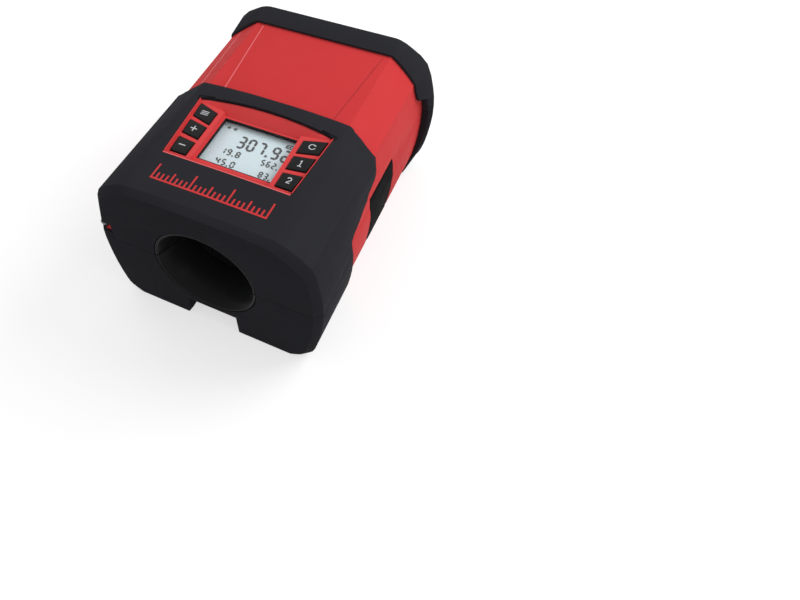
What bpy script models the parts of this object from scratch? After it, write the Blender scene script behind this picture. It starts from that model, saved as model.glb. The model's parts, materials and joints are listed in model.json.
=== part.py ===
"""Cable length counter: a hinged clamshell whose sprung wheel runs on the cable drawn through its bore.

Metres, +Z up. The origin is the middle of the footprint, and the display end faces -Y.
"""

import math

import bmesh
import bpy
from mathutils import Matrix, Vector

# Whole object
LENGTH = 0.156
FRONT = -LENGTH / 2
GAP = 0.0003
OVERRUN = 0.002
FAR = 0.2
WELD = 1e-6
WALL = 0.003

# Red body section, as shares of its half width and height from the top middle down the right side
BODY_HALF_WIDTH = 0.0576
BODY_HEIGHT = 0.086
SOLE = 0.0015
END_WALL = 0.003
BOOT_FACE = 0.003
BODY_SHARES = (
    (0.0, 1.0), (0.3, 1.0), (0.573, 1.0), (0.7, 1.0), (0.832, 0.935), (0.963, 0.868), (0.988, 0.715),
    (1.0, 0.539), (0.997, 0.385), (0.981, 0.237), (0.958, 0.1), (0.913, 0.027), (0.837, 0.0),
)

# Front boots: the flat face, the widest rim behind its chamfer, and the cuff over the body
BOOT_FLARE = 0.0048
BOOT_RISE = 0.0042
BOOT_HALF_WIDTH = BODY_HALF_WIDTH + BOOT_FLARE
BOOT_HEIGHT = BODY_HEIGHT + BOOT_RISE
BOOT_CHAMFER = 0.004
CUFF = 0.0018
CUFF_END = 0.094
FACE_SHARES = (
    (0.0, 0.983), (0.288, 0.98), (0.529, 0.971), (0.609, 0.963), (0.673, 0.943), (0.869, 0.833), (0.917, 0.706),
    (0.946, 0.554), (0.941, 0.41), (0.913, 0.255), (0.862, 0.111), (0.817, 0.055), (0.721, 0.013),
)
RIM_SHARES = (
    (0.0, 1.0), (0.288, 0.998), (0.577, 0.994), (0.67, 0.984), (0.75, 0.957), (0.917, 0.868), (0.968, 0.746),
    (1.0, 0.575), (0.997, 0.42), (0.968, 0.254), (0.92, 0.099), (0.872, 0.035), (0.792, 0.0),
)

# Rear edge of the front boots, as shares of their length and of the body's height, from the top down
BOOT_LENGTH = 0.0849
BOOT_EDGE_SHARES = (
    (1.0, 1.07), (0.998, 1.023), (0.985, 1.014), (0.967, 0.998), (0.958, 0.971), (0.942, 0.94), (0.929, 0.908),
    (0.923, 0.88), (0.917, 0.825), (0.905, 0.785), (0.88, 0.759), (0.777, 0.742), (0.742, 0.708), (0.624, 0.676),
    (0.524, 0.659), (0.492, 0.634), (0.485, 0.588), (0.495, 0.535), (0.506, 0.477), (0.521, 0.349), (0.53, 0.24),
    (0.548, 0.093),
)
VISOR_ARCH = 0.0014
LINING = 0.0013
LINING_LENGTH = 0.012

# Rear boots, whose cuff leans back down the sides before they flare to the rim
CAP_FLARE = 0.006
CAP_RISE = 0.0035
CAP_HALF_WIDTH = BODY_HALF_WIDTH + CAP_FLARE
CAP_HEIGHT = BODY_HEIGHT + CAP_RISE
CAP_CUFF = 0.001
CAP_START = 0.018
CAP_START_SHARES = (1.0, 1.0, 1.0, 1.0, 1.0, 1.18, 1.0, 0.44, 0.39, 0.39, 0.61, 1.1, 1.1)
CAP_CHAMFER = 0.002
CAP_SHARES = (
    (0.0, 1.0), (0.28, 1.0), (0.535, 0.998), (0.645, 0.992), (0.76, 0.95), (0.899, 0.866), (0.973, 0.693),
    (1.0, 0.544), (0.992, 0.38), (0.956, 0.201), (0.912, 0.09), (0.862, 0.031), (0.786, 0.0),
)

# Front edge of the rear boots, measured from the rear end, from the top down
CAP_LENGTH = 0.016
CAP_EDGE_SHARES = (
    (0.9, 1.07), (0.9, 1.0), (0.925, 0.977), (0.98, 0.947), (1.07, 0.908), (1.19, 0.87), (1.15, 0.82),
    (1.04, 0.75), (0.955, 0.718), (0.794, 0.707), (0.538, 0.679), (0.425, 0.621), (0.294, 0.533), (0.238, 0.372),
    (0.25, 0.256), (0.344, 0.163), (0.563, 0.093), (1.063, 0.047),
)

# Bore, its mouths and the underside channel
BORE_Z = 0.045
MOUTH_RADIUS = 0.0273
THROAT_RADIUS = 0.021
MOUTH_RIM = 0.0013
THROAT_WALL = 0.0025
FUNNEL_LENGTH = 0.022
FUNNEL_NECK = 0.0065
FUNNEL_SHARES = ((1.0, 0.0), (0.7, 0.15), (0.4, 0.38), (0.14, 0.7), (0.0, 1.0))
CHANNEL_FOOT = 0.0153
CHANNEL_TOP = 0.0147
CHANNEL_HEIGHT = 0.0148
CHANNEL_SKIN = 0.0013
BORE_STEPS = 40

# Hinge at the left edge, its slot stepping up from the parting plane
LID_GAP = 0.0004
HINGE_OUT = 0.0018
HINGE_UP = 0.008
HINGE_X = -BODY_HALF_WIDTH - HINGE_OUT
HINGE_Z = BORE_Z + HINGE_UP
HINGE_SLOT = 0.0064
SLOT_DEPTH = 0.0059
KNUCKLE_RADIUS = 0.0027
PIN_RADIUS = 0.0015
PIN_INSET = 0.005
KNUCKLE_LENGTH = 0.008
KNUCKLE_INSET = 0.0065
LUG_LENGTH = 0.014
MIDDLE_KNUCKLE = 0.016
LEAF_THICK = 0.0021

# Guide inserts
INSERT_THICK = 0.0025
POST_RADIUS = 0.0034
POST_X_INSET = 0.0156
POST_X = BODY_HALF_WIDTH - POST_X_INSET
POST_INSET = 0.032
LID_POST_X_INSET = 0.0136
LID_POST_X = BODY_HALF_WIDTH - LID_POST_X_INSET
LID_POST_DROP = 0.007
LID_POST_TOP = BODY_HEIGHT - LID_POST_DROP
LID_POST_OFFSET = 0.006
LID_POST_MIDDLE = LENGTH / 2 + LID_POST_OFFSET
SCREW_RADIUS = 0.0015
SCREW_HEAD_RADIUS = 0.0029
SCREW_HEAD = 0.0012
SCREW_LENGTH = 0.013
COUNTERBORE = 0.0016

# Guide rollers in a V under the cable
ROLLER_RADIUS = 0.0045
ROLLER_LENGTH = 0.014
ROLLER_CHAMFER = 0.0008
ROLLER_CIRCLE = 0.019
ROLLER_TILT = math.radians(45)
ROLLER_AXLE_RADIUS = 0.0012
CRADLE_LENGTH = 0.020
CRADLE_DEPTH = 0.0064
CRADLE_WIDTH = 0.014
CRADLE_WINDOW = 0.010

# Swing arm and measuring wheel
ARM_INSET = 0.034
ARM_STATION = LENGTH - ARM_INSET
ARM_UNDER_TOP = 0.013
ARM_Z = BODY_HEIGHT - ARM_UNDER_TOP
ARM_LENGTH = 0.038
ARM_DROP = math.radians(54.7)
ARM_HALF_WIDTH = 0.0072
FORK_INSIDE = 0.0052
ARM_EYE_RADIUS = 0.0045
ARM_NOSE_RADIUS = 0.004
ARM_PIN_RADIUS = 0.002
SPRING_BAY = 0.009
WHEEL_BAY = 0.0115
LUG_THICK = 0.003
LUG_FOOT_Z = 0.065
SLOT_AHEAD = 0.050
SLOT_BEHIND = 0.0035
SLOT_START = ARM_STATION - SLOT_AHEAD
SLOT_END = ARM_STATION + SLOT_BEHIND
WHEEL_RADIUS = 0.010
HUB_RADIUS = 0.0082
WHEEL_LEFT = -0.0042
WHEEL_RIGHT = 0.0026
TYRE_CROWN = 0.0004
WHEEL_AXLE_RADIUS = 0.0015
DISC_RADIUS = 0.0078
DISC_LEFT = 0.0030
DISC_THICK = 0.0007
SENSOR_THICK = 0.0008
SENSOR_LONG = 0.009
SENSOR_WIDE = 0.0068
SPRING_RADIUS = 0.0032
SPRING_WIRE = 0.00045
SPRING_WHOLE_TURNS = 3
SPRING_HALF = 0.0031
SPRING_CURL_POINTS = 10
SPRING_LEG = 0.0075
SPRING_REST_ANGLE = math.radians(150)

# The guide rollers' stations go by the swing arm
FRONT_ROLLER_AHEAD = 0.060
REAR_ROLLER_AHEAD = 0.002
ROLLER_STATIONS = (ARM_STATION - FRONT_ROLLER_AHEAD, ARM_STATION - REAR_ROLLER_AHEAD)

# Display and keys, set in the upper front boot
BEZEL_START = 0.0315
BEZEL_LENGTH = 0.0407
BEZEL_HALF_FRONT = 0.0347
BEZEL_HALF_REAR = 0.0376
BEZEL_ARCH = 0.0045
BEZEL_PROUD = 0.0006
BEZEL_DEEP = 0.0041
BEZEL_TOP = BODY_HEIGHT + BEZEL_PROUD
BEZEL_FOOT = BODY_HEIGHT - BEZEL_DEEP
BEZEL_FLANGE = 0.002
ARCH_POINTS = 9
TRAY_HALF = 0.0215
TRAY_START = 0.0328
TRAY_END = 0.069
TRAY_DEEP = 0.0026
TRAY_FLOOR = BODY_HEIGHT - TRAY_DEEP
SCREEN_HALF = 0.0208
SCREEN_START = 0.0375
SCREEN_END = 0.0678
PANE_BORDER = 0.0015
PANE_THICK = 0.0009
LCD_THICK = 0.0016
BOARD_THICK = 0.0012
BOARD_HALF = 0.037
BOARD_START = 0.031
BOARD_END = 0.071
MAT_THICK = 0.0006
KEY_INSIDE = 0.0243
KEY_RIM = 0.0016
KEY_PROUD = 0.0013
KEY_TOP = BODY_HEIGHT + KEY_PROUD
KEY_FLANGE = 0.0008
KEY_FLANGE_DEEP = 0.0044
KEY_FLANGE_TOP = BODY_HEIGHT - KEY_FLANGE_DEEP
KEY_FLANGE_THICK = 0.0009
KEY_ROUND = 0.0005
KEY_TRAVEL = 0.0011
KEY_ROW_SHARES = (
    ("rear", 0.70, 0.933, 0.63, 0.846),
    ("middle", 0.392, 0.627, 0.355, 0.574),
    ("front", 0.066, 0.318, 0.066, 0.289),
)

# Slits in the visor at the ends of the surround's arch, as shares of its half width and its arch
SLIT_SKIN = 0.0012
SLIT_FLOOR = BODY_HEIGHT + SLIT_SKIN
SLIT_SHARES = ((0.805, 0.66), (1.045, 0.26), (1.028, -0.4), (0.805, 0.2))

# Two AA cells beside the bore in the lid
CELL_RADIUS = 0.00725
CELL_LENGTH = 0.0495
CELL_STUD_RADIUS = 0.0027
CELL_STUD = 0.001
CELL_INSET = 0.0166
CELL_X = BODY_HALF_WIDTH - CELL_INSET
CELL_START = 0.0142
CELL_DOOR = 0.0015
HOLDER_TOP = 0.069
HOLDER_WALL = 0.001
CONTACT_THICK = 0.0004

# Latch lever on the right side, as shares of its own length and height
LATCH_INSET = 0.0833
LATCH_START = LENGTH - LATCH_INSET
LATCH_LENGTH = 0.0354
LATCH_RISE = 0.006
LATCH_TOP = BORE_Z + LATCH_RISE
LATCH_AXIS_INSET = 0.0041
LATCH_AXIS_X = BODY_HALF_WIDTH - LATCH_AXIS_INSET
LATCH_AXIS_Z = 0.0105
LATCH_BARREL = 0.0019
LATCH_PIN_RADIUS = 0.0009
LATCH_BARREL_INSET = 0.0058
LATCH_BARREL_LENGTH = 0.0255
LATCH_PIN_SEAT = 0.0018
LATCH_LIFT = 0.0008
LATCH_THICK = 0.003
LATCH_BACKING = 0.0025
LATCH_SHARES = (
    (0.082, 0.0), (0.107, 0.285), (0.099, 0.474), (0.048, 0.715), (0.0, 0.849), (0.0, 0.965), (0.023, 1.0),
    (0.873, 1.0), (0.924, 0.851), (0.983, 0.582), (1.0, 0.297), (0.986, 0.096), (0.955, 0.0),
)

PARTS = None
CUTTERS = None
FINISHES = {}


def at(distance):
    """The Y of a place, given its distance behind the front face."""
    return FRONT + distance


# Outlines

def outline(shares, half_width, height, base=0.0):
    """A closed outline in X and Z, mirrored from the shares of its right half."""
    right = [(across * half_width, base + up * (height - base)) for across, up in shares]
    return right + [(-x, z) for x, z in reversed(right) if x > 0]


def finer(shares, bend):
    """The shares with one more point between each two, on a curve where bend is 1."""
    made = []
    for i, (here, after) in enumerate(zip(shares, shares[1:])):
        before = shares[i - 1] if i else (-after[0], after[1])
        beyond = shares[i + 2] if i + 2 < len(shares) else after
        bulge = [((h - b) - (y - a)) / 16 for h, b, y, a in zip(here, before, beyond, after)]
        made.append(here)
        made.append(tuple((h + a) / 2 + bend * k for h, a, k in zip(here, after, bulge)))
    return made + [shares[-1]]


def grown(points, distance):
    """The outline moved outwards, or inwards by a negative distance, its corners kept."""
    count = len(points)
    area = sum(
        points[i - 1][0] * points[i][1] - points[i][0] * points[i - 1][1] for i in range(count)
    )
    shift = math.copysign(distance, area * distance)
    moved = []
    for i in range(count):
        here = Vector(points[i])
        before = (here - Vector(points[i - 1])).normalized()
        after = (Vector(points[(i + 1) % count]) - here).normalized()
        first = Vector((before.y, -before.x))
        second = Vector((after.y, -after.x))
        middle = (first + second).normalized()
        moved.append(tuple(here + middle * (shift / middle.dot(first))))
    return moved


def rectangle(left, low, right, high):
    return [(left, low), (right, low), (right, high), (left, high)]


def circle(centre, radius, steps=24):
    turns = [2 * math.pi * (i + 0.5) / steps for i in range(steps)]
    return [(centre[0] + radius * math.cos(t), centre[1] + radius * math.sin(t)) for t in turns]


def body_outline(grow=0.0):
    """The red body's section, without the underside channel."""
    plain = outline(BODY_SHARES, BODY_HALF_WIDTH, BODY_HEIGHT, SOLE)
    return grown(plain, grow) if grow else plain


def cavity_outline():
    """The inside of the body, which steps up over the channel."""
    inner = body_outline(-WALL)
    floor = min(z for _, z in inner)
    half = len(inner) // 2 + 1
    foot = CHANNEL_FOOT + WALL
    roof = CHANNEL_HEIGHT + CHANNEL_SKIN
    step = [(foot, floor), (CHANNEL_TOP + WALL, roof), (-CHANNEL_TOP - WALL, roof), (-foot, floor)]
    return inner[:half] + step + inner[half:]


def bezel_outline():
    """The display surround in plan: a trapezium whose rear edge is an arch."""
    rear = BEZEL_START + BEZEL_LENGTH
    points = [(-BEZEL_HALF_FRONT, at(BEZEL_START)), (BEZEL_HALF_FRONT, at(BEZEL_START))]
    for i in range(ARCH_POINTS):
        across = 1 - 2 * i / (ARCH_POINTS - 1)
        points.append((across * BEZEL_HALF_REAR, at(rear + BEZEL_ARCH * (1 - across * across))))
    return points


def key_outline(row, side):
    """One key cap in plan, its outer edge parallel to the display surround."""
    _, outer_front, outer_rear, inner_front, inner_rear = row

    def outside(share):
        half = BEZEL_HALF_FRONT + share * (BEZEL_HALF_REAR - BEZEL_HALF_FRONT)
        return (side * (half - KEY_RIM), at(BEZEL_START + share * BEZEL_LENGTH))

    def inside(share):
        return (side * KEY_INSIDE, at(BEZEL_START + share * BEZEL_LENGTH))

    return [outside(outer_front), outside(outer_rear), inside(inner_rear), inside(inner_front)]


def latch_outline(foot):
    """The latch lever seen from the side, in Y and Z, from a foot up to its top."""
    return [
        (at(LATCH_START + along * LATCH_LENGTH), foot + up * (LATCH_TOP - foot))
        for along, up in LATCH_SHARES
    ]


# Building tools

def clear_scene():
    for thing in list(bpy.data.objects):
        bpy.data.objects.remove(thing, do_unlink=True)


def new_collection(name):
    made = bpy.data.collections.new(name)
    bpy.context.scene.collection.children.link(made)
    return made


def new_finish(name, colour, roughness, metallic=0.0):
    made = bpy.data.materials.new(name)
    made.use_nodes = True
    shader = made.node_tree.nodes["Principled BSDF"]
    shader.inputs["Base Color"].default_value = (*colour, 1.0)
    shader.inputs["Roughness"].default_value = roughness
    shader.inputs["Metallic"].default_value = metallic
    FINISHES[name] = made


def place(name, mesh, finish=None, matrix=None):
    """A named object of the part, or a cutter where it has no finish."""
    thing = bpy.data.objects.new(name, mesh)
    if matrix is not None:
        thing.matrix_world = matrix
    if finish is None:
        CUTTERS.objects.link(thing)
        thing.hide_render = True
        thing.display_type = "WIRE"
    else:
        PARTS.objects.link(thing)
        mesh.materials.clear()
        mesh.materials.append(FINISHES[finish])
    return thing


def mesh_of(name, form):
    """A mesh from a bmesh, its normals facing out."""
    bmesh.ops.recalc_face_normals(form, faces=form.faces)
    mesh = bpy.data.meshes.new(name)
    form.to_mesh(mesh)
    form.free()
    return mesh


def baked(guide, name):
    """The mesh of a curve object, its caps welded on. The curve is removed."""
    bpy.context.view_layer.update()
    graph = bpy.context.evaluated_depsgraph_get()
    mesh = bpy.data.meshes.new_from_object(guide.evaluated_get(graph))
    matrix = guide.matrix_world.copy()
    bpy.data.objects.remove(guide)
    form = bmesh.new()
    form.from_mesh(mesh)
    bmesh.ops.remove_doubles(form, verts=form.verts, dist=WELD)
    bpy.data.meshes.remove(mesh)
    return mesh_of(name, form), matrix


PLANES = {
    "X": Matrix(((0, 0, 1, 0), (1, 0, 0, 0), (0, 1, 0, 0), (0, 0, 0, 1))),
    "Y": Matrix(((1, 0, 0, 0), (0, 0, -1, 0), (0, 1, 0, 0), (0, 0, 0, 1))),
    "Z": Matrix.Identity(4),
}


def prism(name, loops, along, start, end, finish=None):
    """A flat outline, with any holes after it, drawn out along an axis."""
    curve = bpy.data.curves.new(name, "CURVE")
    curve.dimensions = "2D"
    curve.fill_mode = "BOTH"
    curve.extrude = (end - start) / 2
    for loop in loops:
        spline = curve.splines.new("POLY")
        spline.points.add(len(loop) - 1)
        for point, (u, v) in zip(spline.points, loop):
            point.co = (u, v, 0.0, 1.0)
        spline.use_cyclic_u = True
    guide = bpy.data.objects.new(name, curve)
    middle = Vector([(start + end) / 2 if axis == along else 0.0 for axis in "XYZ"])
    guide.matrix_world = Matrix.Translation(middle) @ PLANES[along]
    CUTTERS.objects.link(guide)
    mesh, matrix = baked(guide, name)
    return place(name, mesh, finish, matrix)


def box(name, low, high, finish=None, matrix=None):
    form = bmesh.new()
    low, high = Vector(low), Vector(high)
    size = Matrix.Diagonal((*(high - low), 1.0))
    bmesh.ops.create_cube(form, size=1.0, matrix=Matrix.Translation((low + high) / 2) @ size)
    return place(name, mesh_of(name, form), finish, matrix)


def frame_along(direction, place_at):
    """A matrix that turns +Z to the direction and moves the origin to the place."""
    turn = Vector((0, 0, 1)).rotation_difference(Vector(direction)).to_matrix().to_4x4()
    return Matrix.Translation(Vector(place_at)) @ turn


def rod(name, start, end, radius, finish=None, sides=20):
    start, end = Vector(start), Vector(end)
    form = bmesh.new()
    bmesh.ops.create_cone(
        form, cap_ends=True, segments=sides, radius1=radius, radius2=radius,
        depth=(end - start).length, matrix=frame_along(end - start, (start + end) / 2),
    )
    return place(name, mesh_of(name, form), finish)


def turned(name, profile, origin, direction, finish=None, steps=24):
    """A profile of radius and height, down its outer side first, turned about the direction."""
    mesh = bpy.data.meshes.new(name)
    points = [(radius, 0.0, height) for radius, height in profile]
    ends_on_axis = profile[0][0] == 0.0 and profile[-1][0] == 0.0
    edges = [(i, i + 1) for i in range(len(points) - 1)]
    if not ends_on_axis:
        edges.append((len(points) - 1, 0))
    mesh.from_pydata(points, edges, [])
    thing = place(name, mesh, finish, frame_along(direction, origin))
    screw = thing.modifiers.new("turn", "SCREW")
    screw.steps = steps
    screw.render_steps = steps
    screw.use_merge_vertices = True
    screw.merge_threshold = WELD
    return thing


def loft(name, rings, finish=None):
    """A skin from ring to ring, closed at both ends. Each ring has the same number of points."""
    form = bmesh.new()
    rows = [[form.verts.new(point) for point in ring] for ring in rings]
    for near, far in zip(rows, rows[1:]):
        for i in range(len(near)):
            form.faces.new((near[i - 1], near[i], far[i], far[i - 1]))
    form.faces.new(rows[0])
    form.faces.new(rows[-1])
    return place(name, mesh_of(name, form), finish)


def combine(target, operation, tools):
    for tool in tools:
        step = target.modifiers.new(tool.name, "BOOLEAN")
        step.operation = operation
        step.object = tool


def cut(target, *tools):
    combine(target, "DIFFERENCE", tools)


def fuse(target, *tools):
    combine(target, "UNION", tools)


def trim(target, *tools):
    combine(target, "INTERSECT", tools)


def soften(target, width, segments=1):
    bevel = target.modifiers.new("soft edges", "BEVEL")
    bevel.width = width
    bevel.segments = segments
    bevel.limit_method = "ANGLE"
    bevel.angle_limit = math.radians(40)


def axis_empty(name, centre, parent=None):
    """An empty on a joint's axis, which its moving pieces hang from."""
    empty = bpy.data.objects.new(name, None)
    empty.location = centre
    empty.empty_display_size = WALL
    PARTS.objects.link(empty)
    bpy.context.view_layer.update()
    if parent is not None:
        hang(parent, empty)
    return empty


def hang(empty, *pieces):
    bpy.context.view_layer.update()
    for piece in pieces:
        piece.parent = empty
        piece.matrix_parent_inverse = empty.matrix_world.inverted()


# Shared cutters

def half_spaces():
    """The room above and below the parting plane, which steps up to the hinge slot at the left."""
    low = HINGE_Z - HINGE_SLOT / 2
    high = HINGE_Z + HINGE_SLOT / 2
    step = HINGE_X + SLOT_DEPTH
    half_gap = LID_GAP / 2
    above = [
        (-FAR, low), (step - half_gap, low), (step - half_gap, BORE_Z - half_gap),
        (FAR, BORE_Z - half_gap), (FAR, FAR), (-FAR, FAR),
    ]
    below = [
        (-FAR, high), (step + half_gap, high), (step + half_gap, BORE_Z + half_gap),
        (FAR, BORE_Z + half_gap), (FAR, -FAR), (-FAR, -FAR),
    ]
    ends = (FRONT - OVERRUN, -FRONT + OVERRUN)
    return (
        prism("above_parting", [above], "Y", *ends),
        prism("below_parting", [below], "Y", *ends),
    )


def channel_tool():
    foot = CHANNEL_FOOT + (CHANNEL_FOOT - CHANNEL_TOP) * OVERRUN / CHANNEL_HEIGHT
    section = [
        (-foot, -OVERRUN), (foot, -OVERRUN), (CHANNEL_TOP, CHANNEL_HEIGHT), (-CHANNEL_TOP, CHANNEL_HEIGHT)
    ]
    return prism("channel_room", [section], "Y", FRONT - OVERRUN, -FRONT + OVERRUN)


def mouth_tool():
    """The round hole through both ends, a gap wider than the mouth pieces."""
    radius = MOUTH_RADIUS + MOUTH_RIM + GAP
    ends = (FRONT - OVERRUN, -FRONT + OVERRUN)
    return prism("mouth_room", [circle((0.0, BORE_Z), radius, BORE_STEPS)], "Y", *ends)


def latch_recess(room):
    """The pocket that the latch lever lies in, its upper front corner square."""
    pocket = prism(
        "latch_pocket", [grown(latch_outline(LATCH_AXIS_Z + LATCH_LIFT), GAP)], "X", BODY_HALF_WIDTH / 2,
        CAP_HALF_WIDTH,
    )
    ends = [y for (y, _), (_, up) in zip(latch_outline(LATCH_AXIS_Z), LATCH_SHARES) if up == 0.0]
    foot = box(
        "latch_foot_room", (BODY_HALF_WIDTH / 2, min(ends) - GAP, LATCH_AXIS_Z - LATCH_LIFT - GAP),
        (CAP_HALF_WIDTH, max(ends) + GAP, LATCH_AXIS_Z + 2 * LATCH_LIFT),
    )
    corner = box(
        "latch_corner_room", (BODY_HALF_WIDTH / 2, at(LATCH_START) - GAP, LATCH_TOP - LATCH_BACKING),
        (CAP_HALF_WIDTH, at(LATCH_START) + LATCH_BACKING, LATCH_TOP + GAP),
    )
    fuse(pocket, foot, corner)
    cut(pocket, room)
    return pocket


# Pieces of the lower half

def make_shell(name, finish, tools):
    """One half of the red body, with its end walls."""
    ends = (FRONT + BOOT_FACE + GAP, -FRONT - BOOT_FACE - GAP)
    shell = prism(name, [body_outline()], "Y", *ends, finish)
    cut(shell, *tools)
    return shell


def knuckles(name, places, upwards):
    """The hinge barrels of one half, each on a leaf that reaches into the body's wall."""
    side = 1 if upwards else -1
    slot = HINGE_SLOT / 2 - GAP
    wall_x = -BODY_HALF_WIDTH + GAP
    leaf = [
        (HINGE_X - LEAF_THICK / 2, HINGE_Z),
        (HINGE_X - LEAF_THICK / 2, HINGE_Z + side * slot),
        (wall_x, HINGE_Z + side * slot),
        (wall_x, HINGE_Z + side * (HINGE_SLOT / 2 + LEAF_THICK)),
        (wall_x + LEAF_THICK, HINGE_Z + side * (HINGE_SLOT / 2 + LEAF_THICK)),
        (wall_x + LEAF_THICK, HINGE_Z + side * LEAF_THICK / 2),
        (HINGE_X + LEAF_THICK, HINGE_Z),
    ]
    made = []
    for i, (start, length) in enumerate(places):
        barrel = prism(
            f"{name}_barrel_{i + 1}", [circle((HINGE_X, HINGE_Z), KNUCKLE_RADIUS, 20)],
            "Y", at(start), at(start + length),
        )
        arm = prism(f"{name}_leaf_{i + 1}", [leaf], "Y", at(start), at(start + length))
        fuse(barrel, arm)
        made.append(barrel)
    return made


def lower_knuckle_places():
    """Start and length of each knuckle of the lower half: one at each end and one in the middle."""
    return (
        (KNUCKLE_INSET, KNUCKLE_LENGTH),
        ((LENGTH - MIDDLE_KNUCKLE) / 2, MIDDLE_KNUCKLE),
        (LENGTH - KNUCKLE_INSET - KNUCKLE_LENGTH, KNUCKLE_LENGTH),
    )


def upper_knuckle_places():
    """The lid's knuckles, each beside one of the lower half."""
    first, middle, last = lower_knuckle_places()
    return (
        (sum(first) + GAP, LUG_LENGTH),
        (middle[0] - GAP - LUG_LENGTH, LUG_LENGTH),
        (sum(middle) + GAP, LUG_LENGTH),
        (last[0] - GAP - LUG_LENGTH, LUG_LENGTH),
    )


def hinge_bore():
    return rod(
        "hinge_bore", (HINGE_X, FRONT, HINGE_Z), (HINGE_X, -FRONT, HINGE_Z), PIN_RADIUS + GAP, sides=16
    )


def make_lower_shell(shared):
    cavity = prism(
        "lower_cavity", [cavity_outline()], "Y",
        FRONT + BOOT_FACE + GAP + END_WALL, -FRONT - BOOT_FACE - GAP - END_WALL,
    )
    tools = [shared["above"], cavity, shared["channel"], shared["mouth"], *lining_rooms()]
    shell = make_shell("lower_shell", "red", tools)
    backing = prism(
        "latch_backing", [grown(latch_outline(LATCH_AXIS_Z - LATCH_LIFT), LATCH_BACKING)], "X",
        BODY_HALF_WIDTH - LATCH_THICK - GAP - LATCH_BACKING, CAP_HALF_WIDTH,
    )
    inside_body = prism("backing_limit", [body_outline(-GAP)], "Y", FRONT, -FRONT)
    trim(backing, inside_body)
    cut(backing, shared["above"])
    fuse(shell, backing, *knuckles("lower", lower_knuckle_places(), False))
    barrel_room = rod(
        "latch_barrel_room", (LATCH_AXIS_X, at(latch_barrel_start() - GAP), LATCH_AXIS_Z),
        (LATCH_AXIS_X, at(latch_barrel_start() + LATCH_BARREL_LENGTH + GAP), LATCH_AXIS_Z),
        LATCH_BARREL + GAP,
    )
    pin_room = rod("latch_pin_room", *latch_pin_ends(GAP), LATCH_PIN_RADIUS + GAP, sides=12)
    cut(shell, shared["recess"], barrel_room, pin_room, shared["hinge_bore"])
    for i, (x, y) in enumerate(post_places()):
        head = SCREW_HEAD_RADIUS + GAP
        bore = rod(f"counterbore_{i + 1}", (x, y, -OVERRUN), (x, y, SOLE + COUNTERBORE), head)
        hole = rod(
            f"screw_hole_{i + 1}", (x, y, -OVERRUN), (x, y, SOLE + WALL + OVERRUN), SCREW_RADIUS + GAP,
            sides=12,
        )
        cut(shell, bore, hole)
    return shell


def post_places():
    stations = (at(POST_INSET), at(LENGTH - POST_INSET))
    return [(x, y) for x in (-POST_X, POST_X) for y in stations]


def latch_barrel_start():
    return LATCH_START + LATCH_BARREL_INSET


def latch_pin_ends(extra):
    """The pin reaches past the lever's foot into the shell at both ends."""
    foot = [y for (y, _), (_, up) in zip(latch_outline(LATCH_AXIS_Z), LATCH_SHARES) if up == 0.0]
    reach = LATCH_PIN_SEAT + extra
    return (
        (LATCH_AXIS_X, min(foot) - reach, LATCH_AXIS_Z),
        (LATCH_AXIS_X, max(foot) + reach, LATCH_AXIS_Z),
    )


def ring(points, y):
    return [(x, y, z) for x, z in points]


def front_boot_block(name, finish):
    """The whole front boot before it is halved: a chamfered face that runs back to a cuff."""
    cuff = outline(finer(BODY_SHARES, 0), BODY_HALF_WIDTH + CUFF, BODY_HEIGHT + CUFF)
    rings = [
        ring(outline(finer(FACE_SHARES, 1), BOOT_HALF_WIDTH, BOOT_HEIGHT), FRONT),
        ring(outline(finer(RIM_SHARES, 1), BOOT_HALF_WIDTH, BOOT_HEIGHT), at(BOOT_CHAMFER)),
        ring(cuff, at(CUFF_END)),
    ]
    return loft(name, rings, finish)


def rear_boot_block(name, finish):
    """The whole rear boot before it is halved, flaring from the cuff to its widest rim."""
    cuff = outline(finer(BODY_SHARES, 0), BODY_HALF_WIDTH + CAP_CUFF, BODY_HEIGHT + CAP_CUFF)
    starts = [back for back, _ in finer([(share, 0) for share in CAP_START_SHARES], 0)]
    places = [at(LENGTH - back * CAP_START) for back in starts + starts[:0:-1]]
    rim = finer(CAP_SHARES, 1)
    shrunk = outline(rim, CAP_HALF_WIDTH - CAP_CHAMFER, CAP_HEIGHT - CAP_CHAMFER, CAP_CHAMFER / 2)
    rings = [
        [(x, y, z) for (x, z), y in zip(cuff, places)],
        ring(outline(rim, CAP_HALF_WIDTH, CAP_HEIGHT), at(LENGTH - CAP_CHAMFER)),
        ring(shrunk, -FRONT),
    ]
    return loft(name, rings, finish)


def edge_tool(name, shares, front):
    """What lies beyond a boot's curved edge, seen from the side."""
    if front:
        edge = [(at(along * BOOT_LENGTH), up * BODY_HEIGHT) for along, up in shares]
        far = FAR
    else:
        edge = [(at(LENGTH - along * CAP_LENGTH), up * BODY_HEIGHT) for along, up in shares]
        far = -FAR
    corners = [(edge[-1][0], -FAR), (far, -FAR), (far, FAR), (edge[0][0], FAR)]
    return prism(name, [edge + corners], "X", -CAP_HALF_WIDTH - OVERRUN, CAP_HALF_WIDTH + OVERRUN)


def visor_tool():
    """What lies behind the arched rear edge of the upper front boot, seen from above."""
    steps = [2 * i / (ARCH_POINTS - 1) - 1 for i in range(ARCH_POINTS)]
    reach = BOOT_HALF_WIDTH / BEZEL_HALF_REAR
    arch = [
        (step * BOOT_HALF_WIDTH, at(BOOT_LENGTH - VISOR_ARCH * (step * reach) ** 2)) for step in steps
    ]
    return prism("visor_edge", [arch + [(BOOT_HALF_WIDTH, FAR), (-BOOT_HALF_WIDTH, FAR)]], "Z", BORE_Z, FAR)


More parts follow.
